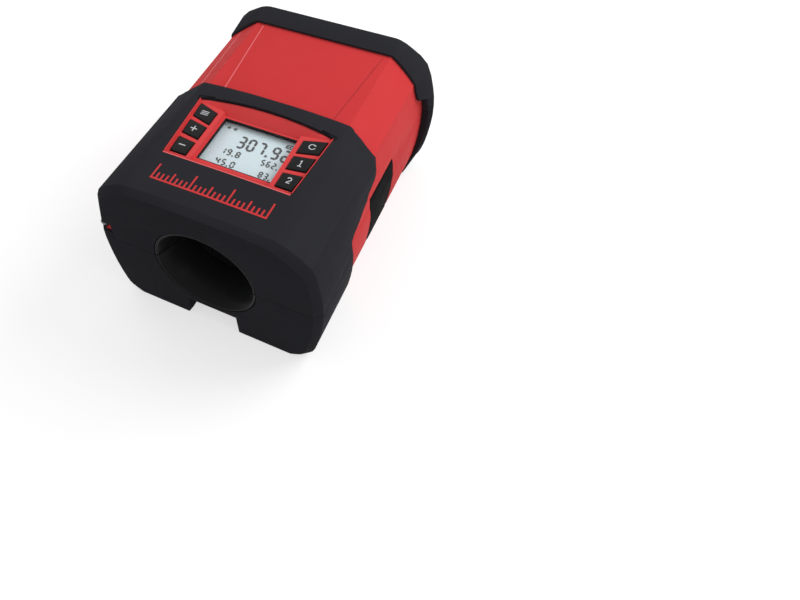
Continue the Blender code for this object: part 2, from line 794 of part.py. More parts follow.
def visor_slits():
    """The shallow slits of the visor, which open into the window of the display surround."""
    rear = BEZEL_START + BEZEL_LENGTH
    slits = []
    for hand, side in (("left", -1), ("right", 1)):
        plan = [
            (side * across * BEZEL_HALF_REAR, at(rear + behind * BEZEL_ARCH)) for across, behind in SLIT_SHARES
        ]
        slits.append(prism(f"visor_slit_{hand}", [plan], "Z", SLIT_FLOOR, BOOT_HEIGHT + OVERRUN))
    return slits


def channel_wall(name, side, thick, low, high, start, end, finish=None):
    """A strip along one wall of the underside channel."""
    section = [
        (side * CHANNEL_FOOT, low), (side * (CHANNEL_FOOT + thick), low),
        (side * (CHANNEL_TOP + thick), high), (side * CHANNEL_TOP, high),
    ]
    return prism(name, [section], "Y", start, end, finish)


def lining_rooms():
    """Where the lower half gives way to the front boot's lining of the channel."""
    return [
        channel_wall(
            f"lining_room_{hand}", side, LINING + GAP, -OVERRUN, CHANNEL_HEIGHT, FRONT,
            at(LINING_LENGTH + GAP),
        )
        for hand, side in (("left", -1), ("right", 1))
    ]


def swing_room():
    """Where the lower rear boot gives way to the upper one as it swings down past the hinge."""
    beyond = CAP_HALF_WIDTH + HINGE_X
    start = at(LENGTH - CAP_START - CAP_LENGTH)
    return rod(
        "swing_room", (HINGE_X, start, HINGE_Z), (HINGE_X, OVERRUN - FRONT, HINGE_Z),
        math.hypot(beyond, beyond) + GAP,
    )


def make_boots(shared):
    room = prism("body_room", [body_outline(GAP)], "Y", FRONT + BOOT_FACE, -FRONT - BOOT_FACE)
    front_edge = edge_tool("front_boot_edge", BOOT_EDGE_SHARES, True)
    rear_edge = edge_tool("rear_boot_edge", CAP_EDGE_SHARES, False)
    visor_edge = visor_tool()
    boots = {}
    for half, other in (("lower", "above"), ("upper", "below")):
        front = front_boot_block(f"{half}_front_boot", "black")
        rear = rear_boot_block(f"{half}_rear_boot", "black")
        cut(front, shared[other], front_edge, room, shared["mouth"])
        cut(rear, shared[other], rear_edge, room, shared["mouth"])
        boots[half] = [front, rear]
    cut(boots["upper"][0], visor_edge, shared["window"], *visor_slits())
    for boot in boots["lower"]:
        cut(boot, shared["channel"])
    cut(boots["lower"][1], swing_room())
    linings = [
        channel_wall(
            f"lining_{hand}", side, LINING, SOLE, CHANNEL_HEIGHT - GAP, at(BOOT_FACE / 2), at(LINING_LENGTH)
        )
        for hand, side in (("left", -1), ("right", 1))
    ]
    fuse(boots["lower"][0], *linings)
    return boots


def make_funnels(shared):
    """The mouth pieces, which narrow from the mouth to the throat, in halves."""
    narrowing = MOUTH_RADIUS - THROAT_RADIUS
    inner = [(THROAT_RADIUS + wide * narrowing, deep * FUNNEL_LENGTH) for wide, deep in FUNNEL_SHARES]
    rim = MOUTH_RADIUS + MOUTH_RIM
    outer = [
        (THROAT_RADIUS + THROAT_WALL - GAP, FUNNEL_LENGTH), (rim, FUNNEL_NECK), (rim, 0.0)
    ]
    made = {"lower": [], "upper": []}
    for half, other in (("lower", "above"), ("upper", "below")):
        for end, y, direction in (("front", FRONT + GAP, 1), ("rear", -FRONT - GAP, -1)):
            funnel = turned(
                f"{half}_{end}_funnel", outer + inner, (0.0, y, BORE_Z), (0, direction, 0), "gloss",
                BORE_STEPS,
            )
            cut(funnel, shared[other])
            made[half].append(funnel)
    return made


def roller_frame(side, station):
    """Local X along the roller, local Z away from the bore's axis."""
    outwards = Vector((side * math.sin(ROLLER_TILT), 0, -math.cos(ROLLER_TILT)))
    along = Vector((math.cos(ROLLER_TILT), 0, side * math.sin(ROLLER_TILT)))
    across = outwards.cross(along)
    centre = Vector((0, at(station), BORE_Z)) + outwards * (ROLLER_CIRCLE + ROLLER_RADIUS)
    turn = Matrix((along, across, outwards)).transposed().to_4x4()
    return Matrix.Translation(centre) @ turn


def roller_places():
    names = ("front_left", "rear_left", "front_right", "rear_right")
    frames = [roller_frame(side, station) for side in (-1, 1) for station in ROLLER_STATIONS]
    return list(zip(names, frames))


def funnel_room():
    """Room for both mouth pieces inside the guide inserts."""
    rooms = []
    for name, y0, y1 in (
        ("front_funnel_room", FRONT, at(FUNNEL_LENGTH + GAP * 2)),
        ("rear_funnel_room", -at(FUNNEL_LENGTH + GAP * 2), -FRONT),
    ):
        radius = MOUTH_RADIUS + MOUTH_RIM + GAP
        rooms.append(prism(name, [circle((0.0, BORE_Z), radius, BORE_STEPS)], "Y", y0, y1))
    return rooms


def insert_block(name, left, right, low, high, finish):
    """A flange across one half with a round bed for the cable, not yet opened."""
    inside = FRONT + BOOT_FACE + GAP + END_WALL + GAP
    flange = prism(name, [rectangle(left, low, right, high)], "Y", inside, -inside, finish)
    bed = prism(
        f"{name}_bed", [circle((0.0, BORE_Z), THROAT_RADIUS + THROAT_WALL, BORE_STEPS)], "Y", inside, -inside
    )
    return flange, bed


def make_lower_insert(shared):
    edge = BODY_HALF_WIDTH - WALL - 2 * GAP
    high = BORE_Z - LID_GAP / 2
    flange, bed = insert_block("lower_guide_insert", -edge, edge, high - INSERT_THICK, high, "satin")
    cut(bed, shared["above"])
    fuse(flange, bed)
    for i, (x, y) in enumerate(post_places()):
        post = rod(f"post_{i + 1}", (x, y, SOLE + WALL + GAP), (x, y, high - GAP), POST_RADIUS, sides=16)
        fuse(flange, post)
    windows = []
    for name, frame in roller_places():
        length = CRADLE_LENGTH / 2
        cradle = box(
            f"{name}_cradle", (-length, -CRADLE_WIDTH / 2, -CRADLE_DEPTH / 2),
            (length, CRADLE_WIDTH / 2, CRADLE_DEPTH / 2), None, frame,
        )
        window = box(
            f"{name}_window", (-ROLLER_LENGTH / 2 - GAP, -CRADLE_WINDOW / 2, -CRADLE_DEPTH * 2),
            (ROLLER_LENGTH / 2 + GAP, CRADLE_WINDOW / 2, CRADLE_DEPTH * 2), None, frame,
        )
        ends = [frame @ Vector((sign * (length + OVERRUN), 0, 0)) for sign in (-1, 1)]
        bore = rod(f"{name}_axle_bore", *ends, ROLLER_AXLE_RADIUS + GAP, sides=12)
        fuse(flange, cradle)
        windows += [window, bore]
    cut(flange, shared["throat"], *windows, *shared["funnel_rooms"])
    for i, (x, y) in enumerate(post_places()):
        top = SOLE + SCREW_LENGTH + OVERRUN
        pilot = rod(f"pilot_{i + 1}", (x, y, 0), (x, y, top), SCREW_RADIUS + GAP, sides=12)
        cut(flange, pilot)
    notch = box(
        "latch_notch", (edge - LATCH_THICK - GAP, at(LATCH_START - 2 * LATCH_BACKING), 0),
        (BODY_HALF_WIDTH, at(LATCH_START + LATCH_LENGTH + 2 * LATCH_BACKING), BORE_Z),
    )
    cut(flange, notch)
    return flange


def make_screws():
    profile = [
        (0.0, SCREW_LENGTH), (SCREW_RADIUS, SCREW_LENGTH), (SCREW_RADIUS, SCREW_HEAD),
        (SCREW_HEAD_RADIUS, SCREW_HEAD), (SCREW_HEAD_RADIUS, 0.0), (0.0, 0.0),
    ]
    for i, (x, y) in enumerate(post_places()):
        turned(f"case_screw_{i + 1}", profile, (x, y, SOLE + GAP / 2), (0, 0, 1), "steel", 16)


def make_rollers():
    half = ROLLER_LENGTH / 2
    bore = ROLLER_AXLE_RADIUS + GAP
    edge = ROLLER_RADIUS - ROLLER_CHAMFER
    profile = [
        (edge, half), (ROLLER_RADIUS, half - ROLLER_CHAMFER), (ROLLER_RADIUS, ROLLER_CHAMFER - half),
        (edge, -half), (bore, -half), (bore, half),
    ]
    for name, frame in roller_places():
        along = frame.to_3x3() @ Vector((1, 0, 0))
        empty = axis_empty(f"{name}_roller_axis", frame.translation)
        roller = turned(f"{name}_roller", profile, frame.translation, along, "grey", 24)
        hang(empty, roller)
        reach = along * (CRADLE_LENGTH / 2 - GAP)
        rod(
            f"{name}_roller_axle", frame.translation - reach, frame.translation + reach,
            ROLLER_AXLE_RADIUS, "steel", 12,
        )


def make_latch():
    empty = axis_empty("latch_axis", (LATCH_AXIS_X, 0.0, LATCH_AXIS_Z))
    lever = prism(
        "latch_lever", [latch_outline(LATCH_AXIS_Z + LATCH_LIFT)], "X", BODY_HALF_WIDTH / 2,
        CAP_HALF_WIDTH, "black",
    )
    skin = prism("latch_skin", [body_outline()], "Y", FRONT, -FRONT)
    core = prism("latch_core", [body_outline(-LATCH_THICK)], "Y", FRONT - OVERRUN, OVERRUN - FRONT)
    trim(lever, skin)
    cut(lever, core)
    start = (LATCH_AXIS_X, at(latch_barrel_start()), LATCH_AXIS_Z)
    end = (LATCH_AXIS_X, at(latch_barrel_start() + LATCH_BARREL_LENGTH), LATCH_AXIS_Z)
    fuse(lever, rod("latch_barrel", start, end, LATCH_BARREL))
    cut(lever, rod("latch_bore", *latch_pin_ends(OVERRUN), LATCH_PIN_RADIUS + GAP, sides=12))
    hang(empty, lever)
    rod("latch_pin", *latch_pin_ends(0.0), LATCH_PIN_RADIUS, "steel", 12)


# Pieces of the lid

def make_upper_shell(shared):
    cavity = prism(
        "upper_cavity", [body_outline(-WALL)], "Y",
        FRONT + BOOT_FACE + GAP + END_WALL, -FRONT - BOOT_FACE - GAP - END_WALL,
    )
    step_wall = prism(
        "step_wall",
        [rectangle(-FAR, -FAR, HINGE_X + SLOT_DEPTH + WALL, HINGE_Z + HINGE_SLOT / 2 + WALL)],
        "Y", FRONT - OVERRUN, OVERRUN - FRONT,
    )
    cut(cavity, step_wall)
    shell = make_shell(
        "upper_shell", "red", [shared["below"], cavity, shared["mouth"], shared["window"], shared["recess"]]
    )
    fuse(shell, *knuckles("upper", upper_knuckle_places(), True))
    cut(shell, shared["hinge_bore"])
    foot = BORE_Z + LID_GAP / 2 + INSERT_THICK + GAP
    for i, (x, station) in enumerate(lid_post_places()):
        post = rod(f"lid_post_{i + 1}", (x, at(station), foot), (x, at(station), LID_POST_TOP), POST_RADIUS)
        fuse(shell, post)
    return shell


def lid_post_places():
    rear = LENGTH - POST_INSET
    return (
        (-LID_POST_X, POST_INSET), (-LID_POST_X, rear), (LID_POST_X, rear), (LID_POST_X, LID_POST_MIDDLE)
    )


def cell_room():
    """The battery holder's inside in plan: left, front, right, rear."""
    half = CELL_RADIUS + GAP
    spare = CONTACT_THICK + 2 * GAP
    return (
        CELL_X - half, at(CELL_START - spare), CELL_X + half,
        at(CELL_START + CELL_LENGTH + CELL_STUD + spare),
    )


def make_upper_insert(shared):
    low = BORE_Z + LID_GAP / 2
    left = HINGE_X + SLOT_DEPTH + LID_GAP / 2 + WALL + GAP
    right = BODY_HALF_WIDTH - WALL - 2 * GAP
    flange, bed = insert_block("upper_guide_insert", left, right, low, low + INSERT_THICK, "satin")
    cut(bed, shared["below"])
    fuse(flange, bed)
    slot_half = ARM_HALF_WIDTH + 2 * GAP
    slot = box(
        "arm_slot", (-slot_half, at(SLOT_START), BORE_Z + THROAT_RADIUS / 2),
        (slot_half, at(SLOT_END), BODY_HEIGHT),
    )
    x0, y0, x1, y1 = cell_room()
    opening = box("battery_opening", (x0, y0, BORE_Z - OVERRUN), (x1, y1, low + INSERT_THICK + OVERRUN))
    cut(flange, shared["throat"], slot, opening, *shared["funnel_rooms"])
    centre = (at(ARM_STATION), ARM_Z)
    arc = [
        (centre[0] + ARM_NOSE_RADIUS * math.cos(t), centre[1] + ARM_NOSE_RADIUS * math.sin(t))
        for t in [math.pi * i / 10 for i in range(11)]
    ]
    eye = [(centre[0] + ARM_NOSE_RADIUS, LUG_FOOT_Z)] + arc + [(centre[0] - ARM_NOSE_RADIUS, LUG_FOOT_Z)]
    for side, x in (("left", -ARM_HALF_WIDTH - GAP - LUG_THICK), ("right", ARM_HALF_WIDTH + GAP)):
        fuse(flange, prism(f"{side}_lug", [eye], "X", x, x + LUG_THICK))
    reach = ARM_HALF_WIDTH + LUG_THICK + OVERRUN
    bore = rod(
        "arm_pin_bore", (-reach, *centre), (reach, *centre), ARM_PIN_RADIUS + GAP, sides=16
    )
    cut(flange, bore)
    return flange


def on_arm(along, across):
    """Y and Z of a place on the resting swing arm, measured from its pivot."""
    direction = Vector((-math.cos(ARM_DROP), -math.sin(ARM_DROP)))
    normal = Vector((-direction.y, direction.x))
    return tuple(Vector((at(ARM_STATION), ARM_Z)) + direction * along + normal * across)


def arm_outline():
    """The arm from the side: an eye at the pivot and a rounder nose at the wheel."""
    heading = ARM_DROP + math.pi
    nose = on_arm(ARM_LENGTH, 0.0)
    eye = on_arm(0.0, 0.0)
    steps = 8
    points = []
    for i in range(steps + 1):
        t = heading - math.pi / 2 + math.pi * i / steps
        points.append((nose[0] + ARM_NOSE_RADIUS * math.cos(t), nose[1] + ARM_NOSE_RADIUS * math.sin(t)))
    for i in range(steps + 1):
        t = heading + math.pi / 2 + math.pi * i / steps
        points.append((eye[0] + ARM_EYE_RADIUS * math.cos(t), eye[1] + ARM_EYE_RADIUS * math.sin(t)))
    return points


def arm_patch(start, end, half):
    """A rectangle in the arm's own direction, seen from the side."""
    return [on_arm(start, -half), on_arm(end, -half), on_arm(end, half), on_arm(start, half)]


def make_arm(lid_empty):
    pivot = (0.0, *on_arm(0.0, 0.0))
    wheel_centre = (0.0, *on_arm(ARM_LENGTH, 0.0))
    arm_empty = axis_empty("arm_axis", pivot, lid_empty)
    wheel_empty = axis_empty("wheel_axis", wheel_centre, arm_empty)
    arm = prism("swing_arm", [arm_outline()], "X", -ARM_HALF_WIDTH, ARM_HALF_WIDTH, "satin")
    tall = ARM_EYE_RADIUS + OVERRUN
    wheel_bay = prism(
        "wheel_bay", [arm_patch(ARM_LENGTH - WHEEL_BAY, ARM_LENGTH + tall, tall)], "X",
        -FORK_INSIDE, FORK_INSIDE,
    )
    spring_bay = prism("spring_bay", [arm_patch(-tall, SPRING_BAY, tall)], "X", -FORK_INSIDE, FORK_INSIDE)
    reach = ARM_HALF_WIDTH + OVERRUN
    pivot_bore = rod(
        "pivot_bore", (-reach, *pivot[1:]), (reach, *pivot[1:]), ARM_PIN_RADIUS + GAP, sides=16
    )
    axle_bore = rod(
        "axle_bore", (-reach, *wheel_centre[1:]), (reach, *wheel_centre[1:]), WHEEL_AXLE_RADIUS + GAP, sides=16
    )
    cut(arm, wheel_bay, spring_bay, pivot_bore, axle_bore)
    hang(arm_empty, arm)
    sensor_x = FORK_INSIDE - GAP - SENSOR_THICK
    first = ARM_LENGTH - WHEEL_BAY + GAP
    sensor = prism(
        "sensor_board", [arm_patch(first, first + SENSOR_LONG, SENSOR_WIDE / 2)], "X", sensor_x,
        sensor_x + SENSOR_THICK, "board",
    )
    hang(arm_empty, sensor)
    pin_reach = ARM_HALF_WIDTH + GAP + LUG_THICK
    pin = rod("arm_pin", (-pin_reach, *pivot[1:]), (pin_reach, *pivot[1:]), ARM_PIN_RADIUS, "steel", 16)
    hang(lid_empty, pin, make_spring())
    make_wheel(wheel_empty, wheel_centre)


def make_wheel(empty, centre):
    """Hub, tyre, axle and encoder disc, which turn together."""
    middle = (WHEEL_LEFT + WHEEL_RIGHT) / 2
    half = (WHEEL_RIGHT - WHEEL_LEFT) / 2
    origin = (middle, *centre[1:])
    bore = WHEEL_AXLE_RADIUS + GAP
    boss = bore + WHEEL_AXLE_RADIUS
    rim = HUB_RADIUS - WHEEL_AXLE_RADIUS
    hub_profile = [
        (HUB_RADIUS, half), (HUB_RADIUS, -half), (rim, -half), (rim, -half / 3), (boss, -half / 3),
        (boss, -half), (bore, -half), (bore, half), (boss, half), (boss, half / 3), (rim, half / 3), (rim, half),
    ]
    seat = HUB_RADIUS + GAP
    shoulder = WHEEL_RADIUS - TYRE_CROWN
    tyre_profile = [
        (shoulder, half), (WHEEL_RADIUS, half / 2), (WHEEL_RADIUS, -half / 2), (shoulder, -half),
        (seat, -half), (seat, half),
    ]
    disc_half = DISC_THICK / 2
    disc_profile = [
        (DISC_RADIUS, disc_half), (DISC_RADIUS, -disc_half), (bore, -disc_half), (bore, disc_half)
    ]
    hub = turned("measuring_wheel", hub_profile, origin, (1, 0, 0), "grey", 28)
    tyre = turned("wheel_tyre", tyre_profile, origin, (1, 0, 0), "rubber", 32)
    disc = turned(
        "encoder_disc", disc_profile, (DISC_LEFT + disc_half, *centre[1:]), (1, 0, 0), "steel", 28
    )
    reach = ARM_HALF_WIDTH - GAP
    axle = rod(
        "wheel_axle", (-reach, *centre[1:]), (reach, *centre[1:]), WHEEL_AXLE_RADIUS, "steel", 16
    )
    hang(empty, hub, tyre, disc, axle)


def make_spring():
    """A torsion spring on the arm's pin: one leg on the arm, one against the lid's ceiling."""
    pivot = Vector((0.0, *on_arm(0.0, 0.0)))
    start_angle = math.atan2(math.cos(ARM_DROP), -math.sin(ARM_DROP))
    sweep = (start_angle - SPRING_REST_ANGLE) % (2 * math.pi) + 2 * math.pi * SPRING_WHOLE_TURNS
    count = round(sweep / (2 * math.pi) * SPRING_CURL_POINTS)

    def wound(share):
        angle = start_angle - sweep * share
        side = SPRING_HALF * (1 - 2 * share)
        return pivot + Vector((side, SPRING_RADIUS * math.cos(angle), SPRING_RADIUS * math.sin(angle)))

    coil = [wound(i / count) for i in range(count + 1)]
    arm_way = Vector((0.0, -math.cos(ARM_DROP), -math.sin(ARM_DROP)))
    lid_way = Vector((0.0, math.sin(SPRING_REST_ANGLE), -math.cos(SPRING_REST_ANGLE)))
    ceiling = BODY_HEIGHT - WALL - GAP - SPRING_WIRE
    lid_leg = (ceiling - coil[-1].z) / lid_way.z
    path = [coil[0] + arm_way * SPRING_LEG] + coil + [coil[-1] + lid_way * lid_leg]
    curve = bpy.data.curves.new("arm_spring", "CURVE")
    curve.dimensions = "3D"
    curve.bevel_depth = SPRING_WIRE
    curve.bevel_resolution = 1
    curve.use_fill_caps = True
    spline = curve.splines.new("POLY")
    spline.points.add(len(path) - 1)
    for point, place_at in zip(spline.points, path):
        point.co = (*place_at, 1.0)
    guide = bpy.data.objects.new("arm_spring", curve)
    CUTTERS.objects.link(guide)
    mesh, matrix = baked(guide, "arm_spring")
    return place("arm_spring", mesh, "steel", matrix)


def make_display(shared, lid_empty):
    """The red surround, its pane, the liquid crystal panel, the board, the keypad and the keys."""
    shape = bezel_outline()
    bezel = prism("display_bezel", [shape], "Z", BEZEL_FOOT, BEZEL_TOP, "red")
    flange_top = BODY_HEIGHT - WALL - GAP
    flange = prism("bezel_flange", [grown(shape, BEZEL_FLANGE)], "Z", BEZEL_FOOT, flange_top)
    trim(flange, prism("flange_limit", [body_outline(-WALL - GAP)], "Y", FRONT, -FRONT))
    fuse(bezel, flange)
    above = BEZEL_TOP + GAP
    tray = box("tray", (-TRAY_HALF, at(TRAY_START), TRAY_FLOOR), (TRAY_HALF, at(TRAY_END), above))
    screen_low = BEZEL_FOOT - OVERRUN
    screen = box(
        "screen_opening", (-SCREEN_HALF, at(SCREEN_START), screen_low),
        (SCREEN_HALF, at(SCREEN_END), TRAY_FLOOR + OVERRUN),
    )
    cut(bezel, tray, screen, slope_tool(above))
    keys = []
    for row in KEY_ROW_SHARES:
        for side, hand in ((-1, "left"), (1, "right")):
            shape = key_outline(row, side)
            name = f"{hand}_{row[0]}"
            cut(bezel, prism(f"{name}_aperture", [grown(shape, GAP)], "Z", screen_low, above))
            keys.append(make_key(f"{name}_key", shape, lid_empty))
    pane_top = BEZEL_FOOT - GAP
    lcd_top = pane_top - PANE_THICK - GAP
    board_top = lcd_top - LCD_THICK - GAP
    half = SCREEN_HALF + PANE_BORDER
    y0, y1 = at(SCREEN_START - PANE_BORDER), at(SCREEN_END + PANE_BORDER)
    pane = box("display_pane", (-half, y0, pane_top - PANE_THICK), (half, y1, pane_top), "clear")
    lcd = box("lcd_panel", (-half, y0, lcd_top - LCD_THICK), (half, y1, lcd_top), "lcd")
    board = box(
        "main_board", (-BOARD_HALF, at(BOARD_START), board_top - BOARD_THICK),
        (BOARD_HALF, at(BOARD_END), board_top), "board",
    )
    mat = prism(
        "keypad_mat",
        [
            rectangle(-BOARD_HALF, at(BOARD_START), BOARD_HALF, at(BOARD_END)),
            rectangle(-half - GAP, y0 - GAP, half + GAP, y1 + GAP),
        ],
        "Z", board_top + GAP, board_top + GAP + MAT_THICK, "rubber",
    )
    hang(lid_empty, bezel, pane, lcd, board, mat)


def slope_tool(above):
    """The wedge between the arched rear edge and the screen's rear edge."""
    form = bmesh.new()
    arch = bezel_outline()[2:]
    inset = KEY_RIM / 2
    for x, y in arch:
        form.verts.new((x * (1 - inset / BEZEL_HALF_REAR), y - inset, above))
    for x in (-TRAY_HALF, TRAY_HALF):
        form.verts.new((x, at(TRAY_END) - GAP, above))
        form.verts.new((x, at(TRAY_END) - GAP, TRAY_FLOOR))
    bmesh.ops.convex_hull(form, input=form.verts)
    return place("slope", mesh_of("slope", form))


def make_key(name, shape, lid_empty):
    centre_x = sum(x for x, _ in shape) / len(shape)
    centre_y = sum(y for _, y in shape) / len(shape)
    empty = axis_empty(f"{name}_axis", (centre_x, centre_y, KEY_TOP), lid_empty)
    foot = KEY_FLANGE_TOP - KEY_FLANGE_THICK
    key = prism(name, [shape], "Z", foot + GAP, KEY_TOP, "key")
    soften(key, KEY_ROUND, 2)
    fuse(key, prism(f"{name}_flange", [grown(shape, KEY_FLANGE)], "Z", foot, KEY_FLANGE_TOP))
    hang(empty, key)
    return key


def make_battery(lid_empty):
    door_low = BORE_Z + LID_GAP / 2
    door_high = door_low + CELL_DOOR
    x0, y0, x1, y1 = cell_room()
    door = box("battery_door", (x0 + GAP, y0 + GAP, door_low), (x1 - GAP, y1 - GAP, door_high), "satin")
    foot = door_low + INSERT_THICK + GAP
    holder = prism(
        "battery_holder",
        [
            rectangle(x0 - HOLDER_WALL, y0 - HOLDER_WALL, x1 + HOLDER_WALL, y1 + HOLDER_WALL),
            rectangle(x0, y0, x1, y1),
        ],
        "Z", foot, HOLDER_TOP, "satin",
    )
    pieces = [door, holder]
    low_cell = door_high + GAP + CELL_RADIUS
    cells = (("lower_cell", low_cell, 1), ("upper_cell", low_cell + 2 * CELL_RADIUS + GAP, -1))
    profile = [
        (0.0, CELL_LENGTH + CELL_STUD), (CELL_STUD_RADIUS, CELL_LENGTH + CELL_STUD),
        (CELL_STUD_RADIUS, CELL_LENGTH), (CELL_RADIUS, CELL_LENGTH), (CELL_RADIUS, 0.0), (0.0, 0.0),
    ]
    near, far = at(CELL_START), at(CELL_START + CELL_LENGTH + CELL_STUD)
    for name, z, direction in cells:
        y = near if direction > 0 else far
        pieces.append(turned(name, profile, (CELL_X, y, z), (0, direction, 0), "cell", 24))
    plate_half = CELL_RADIUS - 2 * HOLDER_WALL
    for name, y in (("front_contact", near - GAP - CONTACT_THICK), ("rear_contact", far + GAP)):
        pieces.append(box(
            name, (CELL_X - plate_half, y, low_cell - plate_half),
            (CELL_X + plate_half, y + CONTACT_THICK, cells[1][1] + plate_half), "steel",
        ))
    hang(lid_empty, *pieces)


def make_hinge_pin():
    rod(
        "hinge_pin", (HINGE_X, at(PIN_INSET), HINGE_Z), (HINGE_X, -at(PIN_INSET), HINGE_Z), PIN_RADIUS,
        "steel", 16,
    )


def shared_tools():
    above, below = half_spaces()
    channel = channel_tool()
    inside_limit = prism("recess_limit", [body_outline(-LATCH_THICK - GAP)], "Y", FRONT, -FRONT)
    ends = (FRONT - OVERRUN, OVERRUN - FRONT)
    return {
        "above": above,
        "below": below,
        "channel": channel,
        "mouth": mouth_tool(),
        "throat": prism("throat_room", [circle((0.0, BORE_Z), THROAT_RADIUS, BORE_STEPS)], "Y", *ends),
        "recess": latch_recess(inside_limit),
        "hinge_bore": hinge_bore(),
        "window": prism("display_window_room", [grown(bezel_outline(), GAP)], "Z", BORE_Z * 3 / 2, FAR),
        "funnel_rooms": funnel_room(),
    }


def finishes():
    new_finish("red", (0.61, 0.052, 0.055), 0.38)
    new_finish("black", (0.027, 0.029, 0.032), 0.6)
    new_finish("satin", (0.022, 0.023, 0.026), 0.42)
    new_finish("gloss", (0.006, 0.006, 0.007), 0.2)
    new_finish("key", (0.012, 0.012, 0.013), 0.45)
    new_finish("grey", (0.32, 0.33, 0.35), 0.4)
    new_finish("rubber", (0.015, 0.015, 0.016), 0.75)
    new_finish("steel", (0.62, 0.63, 0.65), 0.28, 1.0)
    new_finish("lcd", (0.60, 0.72, 0.75), 0.25)
    new_finish("clear", (0.85, 0.88, 0.9), 0.08)
    new_finish("board", (0.03, 0.16, 0.07), 0.5)
    new_finish("cell", (0.16, 0.17, 0.2), 0.35, 0.4)


def main():
    global PARTS, CUTTERS
    clear_scene()
    PARTS = new_collection("cable_length_counter")
    CUTTERS = new_collection("cutters")
    finishes()
    shared = shared_tools()
    lid_empty = axis_empty("lid_axis", (HINGE_X, 0.0, HINGE_Z))
    make_lower_shell(shared)
    boots = make_boots(shared)
    make_lower_insert(shared)
    funnels = make_funnels(shared)
    make_screws()
    make_rollers()
    make_latch()
    make_hinge_pin()
    hang(lid_empty, make_upper_shell(shared), make_upper_insert(shared), *boots["upper"], *funnels["upper"])
    make_display(shared, lid_empty)
    make_battery(lid_empty)
    make_arm(lid_empty)
    bpy.context.view_layer.update()


main()
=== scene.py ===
"""The looks of the cable length counter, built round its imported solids."""

import json
import math

import bmesh
import bpy
from mathutils import Matrix, Vector
from mathutils.bvhtree import BVHTree


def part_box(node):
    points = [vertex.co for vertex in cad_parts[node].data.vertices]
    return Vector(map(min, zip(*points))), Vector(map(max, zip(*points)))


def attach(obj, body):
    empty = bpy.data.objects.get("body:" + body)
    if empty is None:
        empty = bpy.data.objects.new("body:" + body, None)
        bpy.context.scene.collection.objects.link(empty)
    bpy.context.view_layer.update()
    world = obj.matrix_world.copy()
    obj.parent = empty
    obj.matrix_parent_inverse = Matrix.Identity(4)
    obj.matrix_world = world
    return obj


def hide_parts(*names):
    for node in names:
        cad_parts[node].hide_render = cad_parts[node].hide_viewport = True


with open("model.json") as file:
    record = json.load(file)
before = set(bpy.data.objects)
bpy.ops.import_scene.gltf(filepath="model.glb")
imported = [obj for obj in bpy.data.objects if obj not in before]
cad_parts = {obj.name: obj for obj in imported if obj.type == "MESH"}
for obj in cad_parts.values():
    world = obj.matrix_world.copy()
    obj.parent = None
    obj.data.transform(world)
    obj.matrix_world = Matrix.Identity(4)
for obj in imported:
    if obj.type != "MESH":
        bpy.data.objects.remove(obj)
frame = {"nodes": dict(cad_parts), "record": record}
NODES = frame["nodes"]
SLOT_OF = {row["node"]: row["material_slot"] for row in frame["record"]["subparts"]}
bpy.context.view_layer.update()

# Camera, in metres in the part's own frame
CAMERA_PLACE = Vector((0.14418, -0.24811, 0.35846))
CAMERA_RIGHT = Vector((0.88605, 0.45838, -0.06937))
CAMERA_DOWN = Vector((0.30405, -0.68752, -0.65945))
CAMERA_AHEAD = Vector((-0.34997, 0.56321, -0.74854))
IMAGE_WIDTH = 800
IMAGE_HEIGHT = 600
FOCAL_PIXELS = 776.09
CENTRE_PIXEL = (261.0, 181.0)
SENSOR = 36.0

# Stage and light
WHITE = (1.0, 1.0, 1.0, 1.0)
WORLD_STRENGTH = 0.55
FLOOR_HALF = 3.0
FLOOR_DROP = 0.00005
FLOOR_GLOW = 0.6
FLOOR_ROUGHNESS = 0.9
FLOOR_CLOUD_SCALE = 3.0
FLOOR_STOPS = (0.3, 0.7)
FLOOR_TINTS = ((0.49, 0.49, 0.49), (0.51, 0.51, 0.51))
LAMP_TARGET = Vector((0.0, 0.0, 0.04))
LAMPS = {
    "key_lamp": {"place": Vector((0.58, 0.55, 0.72)), "size": 0.7, "power": 6.0},
    "side_lamp": {"place": Vector((0.85, -0.10, 0.45)), "size": 0.6, "power": 1.0},
    "fill_lamp": {"place": Vector((-0.70, 0.30, 0.62)), "size": 0.7, "power": 1.4},
}

# Unit shapes
CORNERS = ((-1, -1), (1, -1), (1, 1), (-1, 1))
HANDS = {"left": -1, "right": 1}

